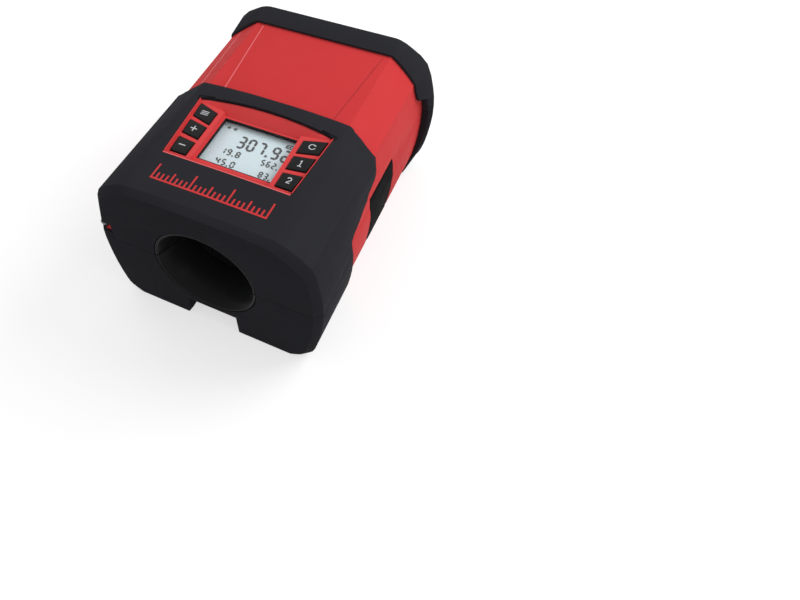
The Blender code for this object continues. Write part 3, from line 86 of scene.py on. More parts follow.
# Moulded plastic and rubber, with the scale of the grain per metre and its depth in metres
CLOUD_SCALE = 28.0
CLOUD_DETAIL = 3.0
CLOUD_STOPS = (0.32, 0.68)
GLOSS_SCALE = 6 * CLOUD_SCALE
GRAIN_STRENGTH = 0.6
MOULDED_LOOKS = {
    "red_shell": {
        "dark": (0.600, 0.043, 0.045), "light": (0.620, 0.045, 0.048), "rough": (0.56, 0.62),
        "specular": 0.04, "grain": 2600.0, "depth": 0.00002,
    },
    # A lighter, slightly glossier copy of the red shell: painted light on the display surround, its rims and
    # its lip
    "painted_lit_red": {
        "dark": (0.68, 0.058, 0.060), "light": (0.70, 0.061, 0.064), "rough": (0.46, 0.54),
        "specular": 0.06, "grain": 2600.0, "depth": 0.00002,
    },
    "boot": {
        "dark": (0.0248, 0.0250, 0.0294), "light": (0.0268, 0.0271, 0.0318), "rough": (0.70, 0.78),
        "specular": 0.015, "grain": 2200.0, "depth": 0.00004,
    },
    "funnel": {
        "dark": (0.0112, 0.0114, 0.0117), "light": (0.0130, 0.0133, 0.0136), "rough": (0.30, 0.38),
        "specular": 0.05, "grain": 900.0, "depth": 0.00001, "strength": 0.2,
    },
    "inner_plastic": {
        "dark": (0.010, 0.0105, 0.012), "light": (0.013, 0.0135, 0.015), "rough": (0.42, 0.5),
        "specular": 0.2, "grain": 2400.0, "depth": 0.00003,
    },
    "latch": {
        "dark": (0.0052, 0.0053, 0.0056), "light": (0.0062, 0.0063, 0.0067), "rough": (0.74, 0.82),
        "specular": 0.02, "grain": 2200.0, "depth": 0.00003,
    },
    "key": {
        "dark": (0.0075, 0.0075, 0.0080), "light": (0.0095, 0.0095, 0.0100), "rough": (0.38, 0.46),
        "specular": 0.12, "grain": 3000.0, "depth": 0.00002,
    },
    "rubber": {
        "dark": (0.007, 0.007, 0.008), "light": (0.012, 0.012, 0.013), "rough": (0.66, 0.82),
        "specular": 0.25, "grain": 1500.0, "depth": 0.00006,
    },
}
OWN_LOOKS = {"display_bezel": "painted_lit_red"}

# Metals, with streaks that run along the axis of the smallest stretch
STREAK_DETAIL = 4.0
STREAK_STOPS = (0.3, 0.7)
METAL_LOOKS = {
    "wheel": {
        "dark": (0.42, 0.43, 0.45), "light": (0.55, 0.56, 0.58), "rough": (0.28, 0.42),
        "stretch": (1.0, 0.15, 0.15), "grain": 1800.0,
    },
    "steel": {
        "dark": (0.50, 0.51, 0.53), "light": (0.66, 0.67, 0.69), "rough": (0.2, 0.34),
        "stretch": (1.0, 1.0, 0.1), "grain": 2400.0,
    },
    # A darker copy of the steel: painted shade for the pin heads down in the notches of the boots
    "shaded_pin_steel": {
        "dark": (0.15, 0.15, 0.16), "light": (0.21, 0.21, 0.22), "rough": (0.34, 0.46),
        "stretch": (1.0, 1.0, 0.1), "grain": 2400.0,
    },
    "cell": {
        "dark": (0.10, 0.105, 0.12), "light": (0.16, 0.165, 0.18), "rough": (0.25, 0.4),
        "stretch": (1.0, 0.1, 1.0), "grain": 900.0, "metallic": 0.6,
    },
}

# Inks, and thin strips of painted highlight and painted shade
WEAR_SCALE = 900.0
WEAR_STOPS = (0.25, 0.45)
INK_GLOSS_SCALE = 300.0
INK_GRAIN_SCALE = 5000.0
FINE_DEPTH = 0.00001
FINE_STRENGTH = 0.3
PRINTED_LOOKS = {
    "readout_ink": {
        "colour": (0.004, 0.005, 0.006), "worn": (0.006, 0.007, 0.008), "rough": (0.5, 0.6),
        "specular": 0.2,
    },
    "mark_ink": {
        "colour": (0.56, 0.58, 0.60), "worn": (0.46, 0.48, 0.50), "rough": (0.4, 0.5), "specular": 0.2,
    },
    "scale_ink": {
        "colour": (0.60, 0.030, 0.033), "worn": (0.52, 0.026, 0.029), "rough": (0.4, 0.52),
        "specular": 0.2,
    },
    # Painted highlight: a lighter red for the glint along facet edges and along the surround's front edge
    "painted_edge_highlight": {
        "colour": (0.74, 0.14, 0.15), "worn": (0.70, 0.11, 0.12), "rough": (0.4, 0.5), "specular": 0.3,
    },
    "seam_shade": {
        "colour": (0.30, 0.018, 0.020), "worn": (0.34, 0.020, 0.022), "rough": (0.4, 0.5),
        "specular": 0.2,
    },
    # Painted shade for the slits in the visor
    "slit_shade": {
        "colour": (0.0165, 0.0166, 0.0192), "worn": (0.0180, 0.0182, 0.0210), "rough": (0.7, 0.8),
        "specular": 0.02,
    },
}

# Panel of the display
LCD_CELL_SCALE = 900.0
LCD_CELL_SHARE = 0.06
LCD_CLOUD_SCALE = 30.0
LCD_GLOSS_SCALE = 120.0
LCD_ROUGH = (0.3, 0.4)
LCD_STOPS = (0.3, 0.75)
LCD_TINTS = ((0.66, 0.80, 0.845), (0.70, 0.84, 0.885))

# Clear pane over the display
PANE_SMEAR_SCALE = 45.0
PANE_ROUGH = (0.04, 0.12)
PANE_ALPHA = 0.07
PANE_STOPS = (0.3, 0.7)
PANE_TINTS = ((0.80, 0.86, 0.88), (0.88, 0.93, 0.95))

# Circuit boards
BOARD_RUN_SCALE = 260.0
BOARD_RUN_BEND = 3.0
BOARD_RUN_DEPTH = 0.00003
BOARD_RUN_STRENGTH = 0.5
BOARD_ROUGH = (0.32, 0.42)
BOARD_STOPS = (0.42, 0.5)
BOARD_TINTS = ((0.012, 0.085, 0.035), (0.03, 0.15, 0.06))

# Rounding of the solids' edges
WELD = 0.00001
FLAT_ANGLE = math.radians(1.0)
ROUND_ANGLE = math.radians(20)
ROUND_WIDTH = 0.0005
ROUND_SEGMENTS = 3
FINE_WIDTHS = {
    "key": 0.00035, "steel": 0.00015, "pane": 0.0002, "lcd": 0.0001, "board": 0.0001, "cell": 0.0004,
    "wheel": 0.0003, "rubber": 0.0003,
}
ALREADY_ROUND = ("arm_spring",)

# Prints and thin trim
PRINT_THICK = 0.00006
PRINT_SINK = 0.00004
STRIP_STEPS = 24
TICK_STEPS = 4
RAY_HEIGHT = 1.0

# Display
LCD_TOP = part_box("lcd_panel")[1][2]
READOUT_LIFT = 0.00003
READOUT_THICK = 0.00005
DIGIT_LEAN_SHARE = -0.04
SEGMENT_GAP = 0.00003
SEGMENTS_OF = {
    "0": "abcdef", "1": "bc", "2": "abged", "3": "abgcd", "4": "fgbc", "5": "afgcd", "6": "afgedc",
    "7": "abc", "8": "abcdefg", "9": "abcdfg",
}
BIG_DIGIT = {"height": 0.0086, "width": 0.0044, "step": 0.0055, "dot": 0.0025, "stroke": 0.0013}
LEFT_DIGIT = {"height": 0.0044, "width": 0.0026, "step": 0.0034, "dot": 0.0014, "stroke": 0.00085}
RIGHT_DIGIT = {"height": 0.0042, "width": 0.0023, "step": 0.0029, "dot": 0.0011, "stroke": 0.0008}
READINGS = (
    {"text": "307.92", "left": -0.0084, "foot": -0.0243, "sizes": BIG_DIGIT},
    {"text": "19.8", "left": -0.0136, "foot": -0.0306, "sizes": LEFT_DIGIT},
    {"text": "45.0", "left": -0.0130, "foot": -0.0376, "sizes": LEFT_DIGIT},
    {"text": "562.7", "left": 0.0086, "foot": -0.0301, "sizes": RIGHT_DIGIT},
    {"text": "83.1", "left": 0.0110, "foot": -0.0376, "sizes": RIGHT_DIGIT},
)
ICON_LINE = 0.0005
BATTERY_LEFT = 0.0154
BATTERY_FOOT = -0.0146
BATTERY_WIDTH = 0.0043
BATTERY_HEIGHT = 0.0022
BATTERY_BARS = 3
ARROW_LEFTS = (-0.0188, -0.0152)
ARROW_Y = -0.0131
ARROW_SIZE = 0.0026
ARROW_HEAD_SHARE = 0.75
MARK_PLACES = (-0.0027, 0.0049)
MARK_LENGTH = 0.0016
SCREEN_HALF = 0.0208
SCREEN_FRONT = -0.0405
SCREEN_REAR = -0.0102
GASKET_THICK = 0.0005
GASKET_LOW = 0.08165
GASKET_HIGH = 0.0833

# Marks on the keys, with angles in degrees
BARS_MARK = {"length": 0.0042, "stroke": 0.00045, "step": 0.0011}
SIGN_MARK = {"length": 0.0037, "stroke": 0.0006}
TURN_MARK = {"radius": 0.0016, "stroke": 0.00045, "head": 0.0011, "start": 60, "sweep": 290, "steps": 16}
DIGIT_MARK = {"height": 0.0036, "width": 0.0020, "stroke": 0.0005}
BOW = {"start": 170, "sweep": 215, "steps": 10}
FLAG_ROOT_SHARE = 1.2
FLAG_TIP_SHARE = 2

# Scale line on the boot, ahead of the display
RULE_Y = -0.0645
RULE_HALF = 0.0310
RULE_LINE = 0.0010
RULE_TICKS = 24
TICK_WIDTH = 0.0009
LONG_TICK = 0.0092
MIDDLE_TICK = 0.0062
SHORT_TICK = 0.0040
TICK_LENGTHS = (LONG_TICK, *[SHORT_TICK] * 3, MIDDLE_TICK, *[SHORT_TICK] * 3)

# Lines along the red body, each from its front end to its rear end: painted highlights along the left facet
# edges and a painted shade line along the top seam
FACET_HIGHLIGHT_WIDTH = 0.0006
SEAM_WIDTH = 0.00035
LINES = {
    "left_inner_facet_line": {
        "front_x": -0.0309, "front_y": 0.0077, "rear_x": -0.0360, "rear_y": 0.0620,
        "width": FACET_HIGHLIGHT_WIDTH, "look": "painted_edge_highlight",
    },
    "left_outer_facet_line": {
        "front_x": -0.0474, "front_y": 0.0078, "rear_x": -0.0503, "rear_y": 0.0605,
        "width": FACET_HIGHLIGHT_WIDTH, "look": "painted_edge_highlight",
    },
    "top_seam": {
        "front_x": 0.0314, "front_y": 0.0085, "rear_x": 0.0366, "rear_y": 0.0612,
        "width": SEAM_WIDTH, "look": "seam_shade",
    },
}

# Raised rims of the display surround, by X, Y and height on the right side
RIM_FOOT = 0.0866
RIM_WIDTH = 0.0004
RIM_FRONT = (0.03445, -0.0463)
RIM_REAR = (0.03735, -0.0064)
RIM_FRONT_TOP = 0.0890
RIM_REAR_TOP = 0.0881

# Front lip of the surround on the boot, and the painted highlight along its front edge
LIP_HALF = 0.0344
LIP_REAR = -0.04695
LIP_FRONT = -0.0476
LIP_EDGE = -0.0480

# Painted shade: dark sheets in the slits of the visor, in X and Y on the right side
SLIT_FLOOR = 0.0879
SLIT_HALF_THICK = 0.00005
SLIT_INNER = 0.0305
SLIT_BEND = 0.0345
SLIT_KNEE = 0.0380
SLIT_CORNER = 0.0385
SLIT_OUTER = 0.0391
SLIT_REAR = -0.0030
SLIT_SIDE = -0.0047
SLIT_MOUTH = -0.0063
SLIT_FRONT = -0.0074
SLIT_PLAN = (
    (SLIT_INNER, SLIT_REAR), (SLIT_OUTER, SLIT_SIDE), (SLIT_CORNER, SLIT_FRONT), (SLIT_KNEE, SLIT_MOUTH),
    (SLIT_BEND, SLIT_SIDE),
)

# Heads of the hinge pin, with the dome's shares from its middle to its rim
PIN_HEAD_RADIUS = 0.0021
PIN_HEAD_LENGTH = 0.0036
PIN_STEPS = 20
PIN_DOME = 0.0009
PIN_DOME_SHARES = ((0.4, 0.06), (0.75, 0.25), (0.95, 0.6), (1.0, 1.0))

# Red cheek beside the front head, in X and Z from the axis of the hinge
CHEEK_FRONT = -0.0764
CHEEK_REAR = -0.0746
CHEEK_INNER = 0.0009
CHEEK_TOE = 0.0020
CHEEK_HEEL = 0.0029
CHEEK_NECK = 0.0033
CHEEK_BEND = 0.0045
CHEEK_OUTER = 0.0053
CHEEK_FOOT = -0.0031
CHEEK_RISE = -0.0025
CHEEK_STEP = -0.0014
CHEEK_SHOULDER = -0.0010
CHEEK_TOP = 0.0003
CHEEK_PLAN = (
    (CHEEK_INNER, CHEEK_FOOT), (CHEEK_BEND, CHEEK_FOOT), (CHEEK_OUTER, CHEEK_SHOULDER),
    (CHEEK_OUTER, CHEEK_TOP), (CHEEK_NECK, CHEEK_TOP), (CHEEK_HEEL, CHEEK_STEP), (CHEEK_TOE, CHEEK_RISE),
)

# Screw heads under the base, with the dome's shares from its seat to its crown
SCREWS = 4
SCREW_STEPS = 24
SCREW_SHAFT_RADIUS = 0.0015
SCREW_HEAD_RADIUS = 0.0029
SCREW_HEAD_HEIGHT = 0.0012
SCREW_DOME_SHARES = ((1.0, 1.0), (1.0, 0.35), (0.93, 0.12), (0.8, 0.0))
SOCKET_SIDES = 6
SOCKET_RADIUS = 0.0014
SOCKET_DEPTH = 0.0009


def make_camera():
    data = bpy.data.cameras.new("camera")
    data.sensor_width = SENSOR
    data.lens = FOCAL_PIXELS / IMAGE_WIDTH * SENSOR
    data.shift_x = (IMAGE_WIDTH / 2 - CENTRE_PIXEL[0]) / IMAGE_WIDTH
    data.shift_y = (CENTRE_PIXEL[1] - IMAGE_HEIGHT / 2) / IMAGE_WIDTH
    camera = bpy.data.objects.new("camera", data)
    turn = Matrix((CAMERA_RIGHT, -CAMERA_DOWN, -CAMERA_AHEAD)).transposed()
    camera.matrix_world = Matrix.Translation(CAMERA_PLACE) @ turn.to_4x4()
    bpy.context.scene.collection.objects.link(camera)
    bpy.context.scene.camera = camera


# Node tools

def add(tree, kind, **settings):
    node = tree.nodes.new(kind)
    for key, value in settings.items():
        setattr(node, key, value)
    return node


def noise(tree, scale, detail=2.0, stretch=(1.0, 1.0, 1.0)):
    """A noise value in the piece's own space, stretched along an axis by a smaller number."""
    place = add(tree, "ShaderNodeTexCoord")
    shape = add(tree, "ShaderNodeMapping")
    shape.inputs["Scale"].default_value = stretch
    tree.links.new(place.outputs["Object"], shape.inputs["Vector"])
    field = add(tree, "ShaderNodeTexNoise")
    field.inputs["Scale"].default_value = scale
    field.inputs["Detail"].default_value = detail
    tree.links.new(shape.outputs["Vector"], field.inputs["Vector"])
    return field.outputs["Fac"]


def waves(tree, scale, axis, bend=0.0):
    """Bands across an axis of the piece's own space."""
    place = add(tree, "ShaderNodeTexCoord")
    field = add(tree, "ShaderNodeTexWave", bands_direction=axis)
    field.inputs["Scale"].default_value = scale
    field.inputs["Distortion"].default_value = bend
    tree.links.new(place.outputs["Object"], field.inputs["Vector"])
    return field.outputs["Fac"]


def spread(tree, value, low, high, start=0.3, end=0.7):
    """A value from start to end, spread over the range from low to high."""
    made = add(tree, "ShaderNodeMapRange")
    made.inputs["From Min"].default_value = start
    made.inputs["From Max"].default_value = end
    made.inputs["To Min"].default_value = low
    made.inputs["To Max"].default_value = high
    tree.links.new(value, made.inputs["Value"])
    return made.outputs["Result"]


def tinted(tree, shader, value, stops, tints):
    """Two base colours along a value, each from its own stop."""
    made = add(tree, "ShaderNodeValToRGB")
    for element, place, colour in zip(made.color_ramp.elements, stops, tints):
        element.position = place
        element.color = (*colour, 1.0)
    tree.links.new(value, made.inputs["Fac"])
    tree.links.new(made.outputs["Color"], shader.inputs["Base Color"])


def glossed(tree, shader, value, rough):
    tree.links.new(spread(tree, value, *rough), shader.inputs["Roughness"])


def bumped(tree, shader, value, depth, strength):
    made = add(tree, "ShaderNodeBump")
    made.inputs["Distance"].default_value = depth
    made.inputs["Strength"].default_value = strength
    tree.links.new(value, made.inputs["Height"])
    tree.links.new(made.outputs["Normal"], shader.inputs["Normal"])


def seen_directly(tree):
    """1 for rays from the camera, from mirrors and through glass, and 0 for the light on surfaces."""
    path = add(tree, "ShaderNodeLightPath")
    first = add(tree, "ShaderNodeMath", operation="MAXIMUM")
    second = add(tree, "ShaderNodeMath", operation="MAXIMUM")
    tree.links.new(path.outputs["Is Camera Ray"], first.inputs[0])
    tree.links.new(path.outputs["Is Glossy Ray"], first.inputs[1])
    tree.links.new(first.outputs[0], second.inputs[0])
    tree.links.new(path.outputs["Is Transmission Ray"], second.inputs[1])
    return second.outputs[0]


# Looks

def new_look(name, specular=0.5, metallic=0.0):
    look = bpy.data.materials.new(name)
    look.use_nodes = True
    shader = look.node_tree.nodes["Principled BSDF"]
    shader.inputs["Specular IOR Level"].default_value = specular
    shader.inputs["Metallic"].default_value = metallic
    return look, look.node_tree, shader


def moulded(name, dark, light, rough, specular, grain, depth, strength=GRAIN_STRENGTH):
    """A moulded surface: clouded colour, uneven gloss and a fine spark-eroded grain."""
    look, tree, shader = new_look(name, specular)
    tinted(tree, shader, noise(tree, CLOUD_SCALE, CLOUD_DETAIL), CLOUD_STOPS, (dark, light))
    glossed(tree, shader, noise(tree, GLOSS_SCALE), rough)
    bumped(tree, shader, noise(tree, grain, CLOUD_DETAIL), depth, strength)
    return look


def metal(name, dark, light, rough, stretch, grain, metallic=1.0):
    """Turned or drawn metal, its streaks along one axis."""
    look, tree, shader = new_look(name, metallic=metallic)
    streaks = noise(tree, grain, STREAK_DETAIL, stretch)
    tinted(tree, shader, streaks, STREAK_STOPS, (dark, light))
    glossed(tree, shader, streaks, rough)
    bumped(tree, shader, streaks, FINE_DEPTH, FINE_STRENGTH)
    return look


def printed(name, colour, worn, rough, specular):
    """Ink or a thin inlay, a little worn in places."""
    look, tree, shader = new_look(name, specular)
    tinted(tree, shader, noise(tree, WEAR_SCALE, CLOUD_DETAIL), WEAR_STOPS, (worn, colour))
    glossed(tree, shader, noise(tree, INK_GLOSS_SCALE), rough)
    bumped(tree, shader, noise(tree, INK_GRAIN_SCALE), FINE_DEPTH, FINE_STRENGTH)
    return look


def lcd_look():
    """The pale reflector of the panel, clouded, over a fine grid of cells."""
    look, tree, shader = new_look("lcd")
    cells = add(tree, "ShaderNodeMath", operation="MULTIPLY")
    tree.links.new(waves(tree, LCD_CELL_SCALE, "X"), cells.inputs[0])
    tree.links.new(waves(tree, LCD_CELL_SCALE, "Y"), cells.inputs[1])
    cloud = add(tree, "ShaderNodeMath", operation="MULTIPLY_ADD")
    tree.links.new(cells.outputs[0], cloud.inputs[0])
    cloud.inputs[1].default_value = LCD_CELL_SHARE
    tree.links.new(noise(tree, LCD_CLOUD_SCALE), cloud.inputs[2])
    tinted(tree, shader, cloud.outputs[0], LCD_STOPS, LCD_TINTS)
    glossed(tree, shader, noise(tree, LCD_GLOSS_SCALE), LCD_ROUGH)
    return look


def pane_look():
    """A clear pane with faint smears."""
    look, tree, shader = new_look("pane")
    smear = noise(tree, PANE_SMEAR_SCALE, STREAK_DETAIL)
    tinted(tree, shader, smear, PANE_STOPS, PANE_TINTS)
    glossed(tree, shader, smear, PANE_ROUGH)
    shader.inputs["Alpha"].default_value = PANE_ALPHA
    return look


def board_look():
    """Green solder mask over copper runs."""
    look, tree, shader = new_look("board")
    runs = waves(tree, BOARD_RUN_SCALE, "X", BOARD_RUN_BEND)
    tinted(tree, shader, runs, BOARD_STOPS, BOARD_TINTS)
    glossed(tree, shader, runs, BOARD_ROUGH)
    bumped(tree, shader, runs, BOARD_RUN_DEPTH, BOARD_RUN_STRENGTH)
    return look


def floor_look():
    """A pale floor, white to the camera where it is lit, that keeps the shadow."""
    look, tree, shader = new_look("floor", specular=0.0)
    tinted(tree, shader, noise(tree, FLOOR_CLOUD_SCALE), FLOOR_STOPS, FLOOR_TINTS)
    shader.inputs["Roughness"].default_value = FLOOR_ROUGHNESS
    glow = add(tree, "ShaderNodeEmission")
    glow.inputs["Color"].default_value = WHITE
    tree.links.new(spread(tree, seen_directly(tree), 0.0, FLOOR_GLOW, 0.0, 1.0), glow.inputs["Strength"])
    both = add(tree, "ShaderNodeAddShader")
    tree.links.new(shader.outputs[0], both.inputs[0])
    tree.links.new(glow.outputs[0], both.inputs[1])
    tree.links.new(both.outputs[0], tree.nodes["Material Output"].inputs["Surface"])
    return look


def dress(name, node, looks):
    """Gives a node its look and rounds its edges, once its flat faces are joined."""
    slot = SLOT_OF[name]
    node.data.materials.clear()
    node.data.materials.append(looks[OWN_LOOKS.get(name, slot)])
    weld = node.modifiers.new("weld", "WELD")
    weld.merge_threshold = WELD
    flat = node.modifiers.new("flat", "DECIMATE")
    flat.decimate_type = "DISSOLVE"
    flat.angle_limit = FLAT_ANGLE
    if name not in ALREADY_ROUND:
        rounding = node.modifiers.new("round", "BEVEL")
        rounding.width = FINE_WIDTHS.get(slot, ROUND_WIDTH)
        rounding.segments = ROUND_SEGMENTS
        rounding.limit_method = "ANGLE"
        rounding.angle_limit = ROUND_ANGLE
        rounding.harden_normals = True
    node.data.shade_smooth()


# Stage and light

def backdrop(tree, strength):
    made = add(tree, "ShaderNodeBackground")
    made.inputs["Color"].default_value = WHITE
    made.inputs["Strength"].default_value = strength
    return made.outputs[0]


def make_world():
    """Soft light on the surfaces, and pure white where the world is seen directly."""
    world = bpy.data.worlds.new("studio")
    bpy.context.scene.world = world
    world.use_nodes = True
    tree = world.node_tree
    tree.nodes.clear()
    out = add(tree, "ShaderNodeOutputWorld")
    mix = add(tree, "ShaderNodeMixShader")
    tree.links.new(seen_directly(tree), mix.inputs["Fac"])
    tree.links.new(backdrop(tree, WORLD_STRENGTH), mix.inputs[1])
    tree.links.new(backdrop(tree, 1.0), mix.inputs[2])
    tree.links.new(mix.outputs[0], out.inputs["Surface"])


def make_lamp(name, place, size, power):
    data = bpy.data.lights.new(name, "AREA")
    data.shape = "DISK"
    data.size = size
    data.energy = power
    lamp = bpy.data.objects.new(name, data)
    lamp.location = place
    lamp.rotation_mode = "QUATERNION"
    lamp.rotation_quaternion = (LAMP_TARGET - place).to_track_quat("-Z", "Y")
    bpy.context.scene.collection.objects.link(lamp)


def make_floor():
    form = bmesh.new()
    form.faces.new([form.verts.new((x * FLOOR_HALF, y * FLOOR_HALF, -FLOOR_DROP)) for x, y in CORNERS])
    floor = object_of("floor", form, floor_look())


# Piece tools

def object_of(name, form, look):
    bmesh.ops.recalc_face_normals(form, faces=form.faces)
    mesh = bpy.data.meshes.new(name)
    form.to_mesh(mesh)
    form.free()
    made = bpy.data.objects.new(name, mesh)
    bpy.context.scene.collection.objects.link(made)
    mesh.materials.append(look)
    return made


def piece(name, form, look, body):
    """A new piece that rides on a body."""
    made = object_of(name, form, look)
    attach(made, body)
    return made


def middle_of(low, high):
    """The middle of a box."""
    return [(low[i] + high[i]) / 2 for i in range(3)]


def walls(form, loops):
    """Faces between each loop of vertices and the next, all of the same length."""
    for one, two in zip(loops, loops[1:]):
        for i in range(len(one)):
            form.faces.new((one[i - 1], one[i], two[i], two[i - 1]))


def closed(form, loops):
    """A closed body from its first loop to its last."""
    form.faces.new(loops[0])
    form.faces.new(loops[-1])
    walls(form, loops)


def plate(form, points, low, high):
    """A thin closed plate: a flat outline between two heights."""
    closed(form, [[form.verts.new((x, y, z)) for x, y in points] for z in (low, high)])


def side_of(along, width):
    """Half a width, square to a direction."""
    return Vector((-along.y, along.x)) * width / 2


def bar(start, end, width):
    """The outline of a straight bar between two points."""
    start, end = Vector(start), Vector(end)
    side = side_of((end - start).normalized(), width)
    return [tuple(start - side), tuple(end - side), tuple(end + side), tuple(start + side)]


def band(left, right):
    """The four-sided outlines between two rows of points."""
    return [[left[i], left[i + 1], right[i + 1], right[i]] for i in range(len(left) - 1)]


def arc(start, sweep, steps):
    """Angles in radians along an arc that is given in degrees."""
    return [math.radians(start + sweep * i / steps) for i in range(steps + 1)]


def strip(left, right, front, rear):
    """A rectangle's outline, with its front edge first."""
    return [(left, front), (right, front), (right, rear), (left, rear)]


def circle(steps, turn=0.0):
    """Directions round a circle, as pairs of cosine and sine, after a turn of so many steps."""
    angles = [2 * math.pi * (k + turn) / steps for k in range(steps)]
    return [(math.cos(t), math.sin(t)) for t in angles]


def surface_of(name):
    """A search tree of a node's outer surface, with its edges rounded as they render."""
    graph = bpy.context.evaluated_depsgraph_get()
    return BVHTree.FromObject(NODES[name], graph)


def draped(form, surface, points, steps):
    """A thin plate that follows the surface under it, in strips along its first and third edges."""
    a, b, c, d = [Vector(p) for p in points]
    rows = []
    for i in range(steps + 1):
        share = i / steps
        row = []
        for spot in (a.lerp(b, share), d.lerp(c, share)):
            height = surface.ray_cast(Vector((spot.x, spot.y, RAY_HEIGHT)), Vector((0, 0, -1)))[0].z
            for z in (height - PRINT_SINK, height + PRINT_THICK):
                row.append(form.verts.new((spot.x, spot.y, z)))
        rows.append(row)
    for one, two in zip(rows, rows[1:]):
        form.faces.new((one[1], one[3], two[3], two[1]))
        form.faces.new((one[0], two[0], two[2], one[2]))
        form.faces.new((one[0], one[1], two[1], two[0]))
        form.faces.new((one[2], two[2], two[3], one[3]))
    for row in (rows[0], rows[-1]):
        form.faces.new((row[0], row[2], row[3], row[1]))


# Display

def segment_ends(width, height):
    """Where each of the seven segments starts and ends."""
    middle = height / 2
    return {
        "a": ((0, height), (width, height)), "b": ((width, height), (width, middle)),
        "c": ((width, middle), (width, 0)), "d": ((0, 0), (width, 0)), "e": ((0, 0), (0, middle)),
        "f": ((0, middle), (0, height)), "g": ((0, middle), (width, middle)),
    }


def segment(start, end, stroke):
    """A six-sided bar with pointed ends."""
    start, end = Vector(start), Vector(end)
    along = (end - start).normalized()
    side = side_of(along, stroke)
    first, last = start + along * SEGMENT_GAP, end - along * SEGMENT_GAP
    inner, outer = first + along * stroke / 2, last - along * stroke / 2
    return [first, inner - side, outer - side, last, outer + side, inner + side]


def laid(form, points):
    """A flat dark shape on the panel."""
    low = LCD_TOP + READOUT_LIFT
    plate(form, points, low, low + READOUT_THICK)


def write_number(form, text, left, foot, sizes):
    """Seven-segment digits, laid flat on the panel."""
    stroke = sizes["stroke"]
    half = stroke / 2
    ends = segment_ends(sizes["width"] - stroke, sizes["height"] - stroke)
    x = left + half
    for sign in text:
        if sign == ".":
            spot = x - half - (sizes["step"] - sizes["width"]) / 2 + sizes["dot"] / 2
            laid(form, bar((spot - half, foot + half), (spot + half, foot + half), stroke))
            x += sizes["dot"]
        else:
            for name in SEGMENTS_OF[sign]:
                points = segment(*ends[name], stroke)
                laid(form, [(x + p.x + p.y * DIGIT_LEAN_SHARE, foot + half + p.y) for p in points])
            x += sizes["step"]


def draw_battery(form):
    """A battery outline with its nose and its bars."""
    left, foot = BATTERY_LEFT, BATTERY_FOOT
    right, top, middle = left + BATTERY_WIDTH, foot + BATTERY_HEIGHT, foot + BATTERY_HEIGHT / 2
    corners = strip(left, right, foot, top)
    for i in range(len(corners)):
        laid(form, bar(corners[i - 1], corners[i], ICON_LINE))
    laid(form, bar((right + ICON_LINE / 2, middle), (right + ICON_LINE * 2, middle), BATTERY_HEIGHT / 2))
    room = BATTERY_WIDTH / BATTERY_BARS
    for i in range(BATTERY_BARS):
        spot = left + room * (i + 0.5)
        laid(form, bar((spot, foot + ICON_LINE), (spot, top - ICON_LINE), room - ICON_LINE))


def draw_arrow(form, left):
    neck, half = left + ARROW_SIZE * ARROW_HEAD_SHARE, ARROW_SIZE / 2
    laid(form, [(left, ARROW_Y), (neck, ARROW_Y - half), (neck, ARROW_Y + half)])
    laid(form, bar((neck, ARROW_Y), (left + ARROW_SIZE, ARROW_Y), ICON_LINE))


def make_readout(look):
    form = bmesh.new()
    for reading in READINGS:
        write_number(form, **reading)
    draw_battery(form)
    for left in ARROW_LEFTS:
        draw_arrow(form, left)
    for x in MARK_PLACES:
        laid(form, bar((x, SCREEN_FRONT), (x, SCREEN_FRONT + MARK_LENGTH), ICON_LINE))
    piece("readout", form, look, "lid")


def make_gasket(look):
    """The dark liner of the screen opening."""
    form = bmesh.new()
    middle = (SCREEN_FRONT + SCREEN_REAR) / 2
    half_long = (SCREEN_REAR - SCREEN_FRONT) / 2
    loops = []
    corners = strip(0, GASKET_THICK, GASKET_LOW, GASKET_HIGH)
    for inset, z in corners:
        wide, long = SCREEN_HALF - inset, half_long - inset
        loops.append([form.verts.new((i * wide, middle + k * long, z)) for i, k in CORNERS])
    walls(form, loops + loops[:1])
    piece("screen_gasket", form, look, "lid")


# Key marks

def bars_mark():
    half, step = BARS_MARK["length"] / 2, BARS_MARK["step"]
    return [bar((-half, k * step), (half, k * step), BARS_MARK["stroke"]) for k in (-1, 0, 1)]


def minus_mark():
    half = SIGN_MARK["length"] / 2
    return [bar((-half, 0), (half, 0), SIGN_MARK["stroke"])]


def plus_mark():
    half, edge = SIGN_MARK["length"] / 2, SIGN_MARK["stroke"] / 2
    return minus_mark() + [bar((0, k * edge), (0, k * half), SIGN_MARK["stroke"]) for k in (-1, 1)]


def turn_mark():
    """An arrow that runs most of the way round, for reset."""
    radius, half, head = TURN_MARK["radius"], TURN_MARK["stroke"] / 2, TURN_MARK["head"]
    turns = arc(TURN_MARK["start"], TURN_MARK["sweep"], TURN_MARK["steps"])
    inner = [((radius - half) * math.cos(t), (radius - half) * math.sin(t)) for t in turns]
    outer = [((radius + half) * math.cos(t), (radius + half) * math.sin(t)) for t in turns]
    out = Vector((math.cos(turns[0]), math.sin(turns[0])))
    ahead = Vector((out.y, -out.x)) * head
    side = out * head / 2
    tip = out * radius
    return band(inner, outer) + [[tuple(tip + ahead), tuple(tip + side), tuple(tip - side)]]


def one_mark():
    """A stem with a flag, on a foot."""
    half, stroke = DIGIT_MARK["width"] / 2, DIGIT_MARK["stroke"]
    top, foot = DIGIT_MARK["height"] / 2, -DIGIT_MARK["height"] / 2
    edge = -stroke / 2
    flag = [(edge, top), (edge, top - stroke * FLAG_ROOT_SHARE), (-half, top - stroke * FLAG_TIP_SHARE)]
    return [bar((0, foot), (0, top), stroke), flag, bar((-half, foot + edge), (half, foot + edge), stroke)]


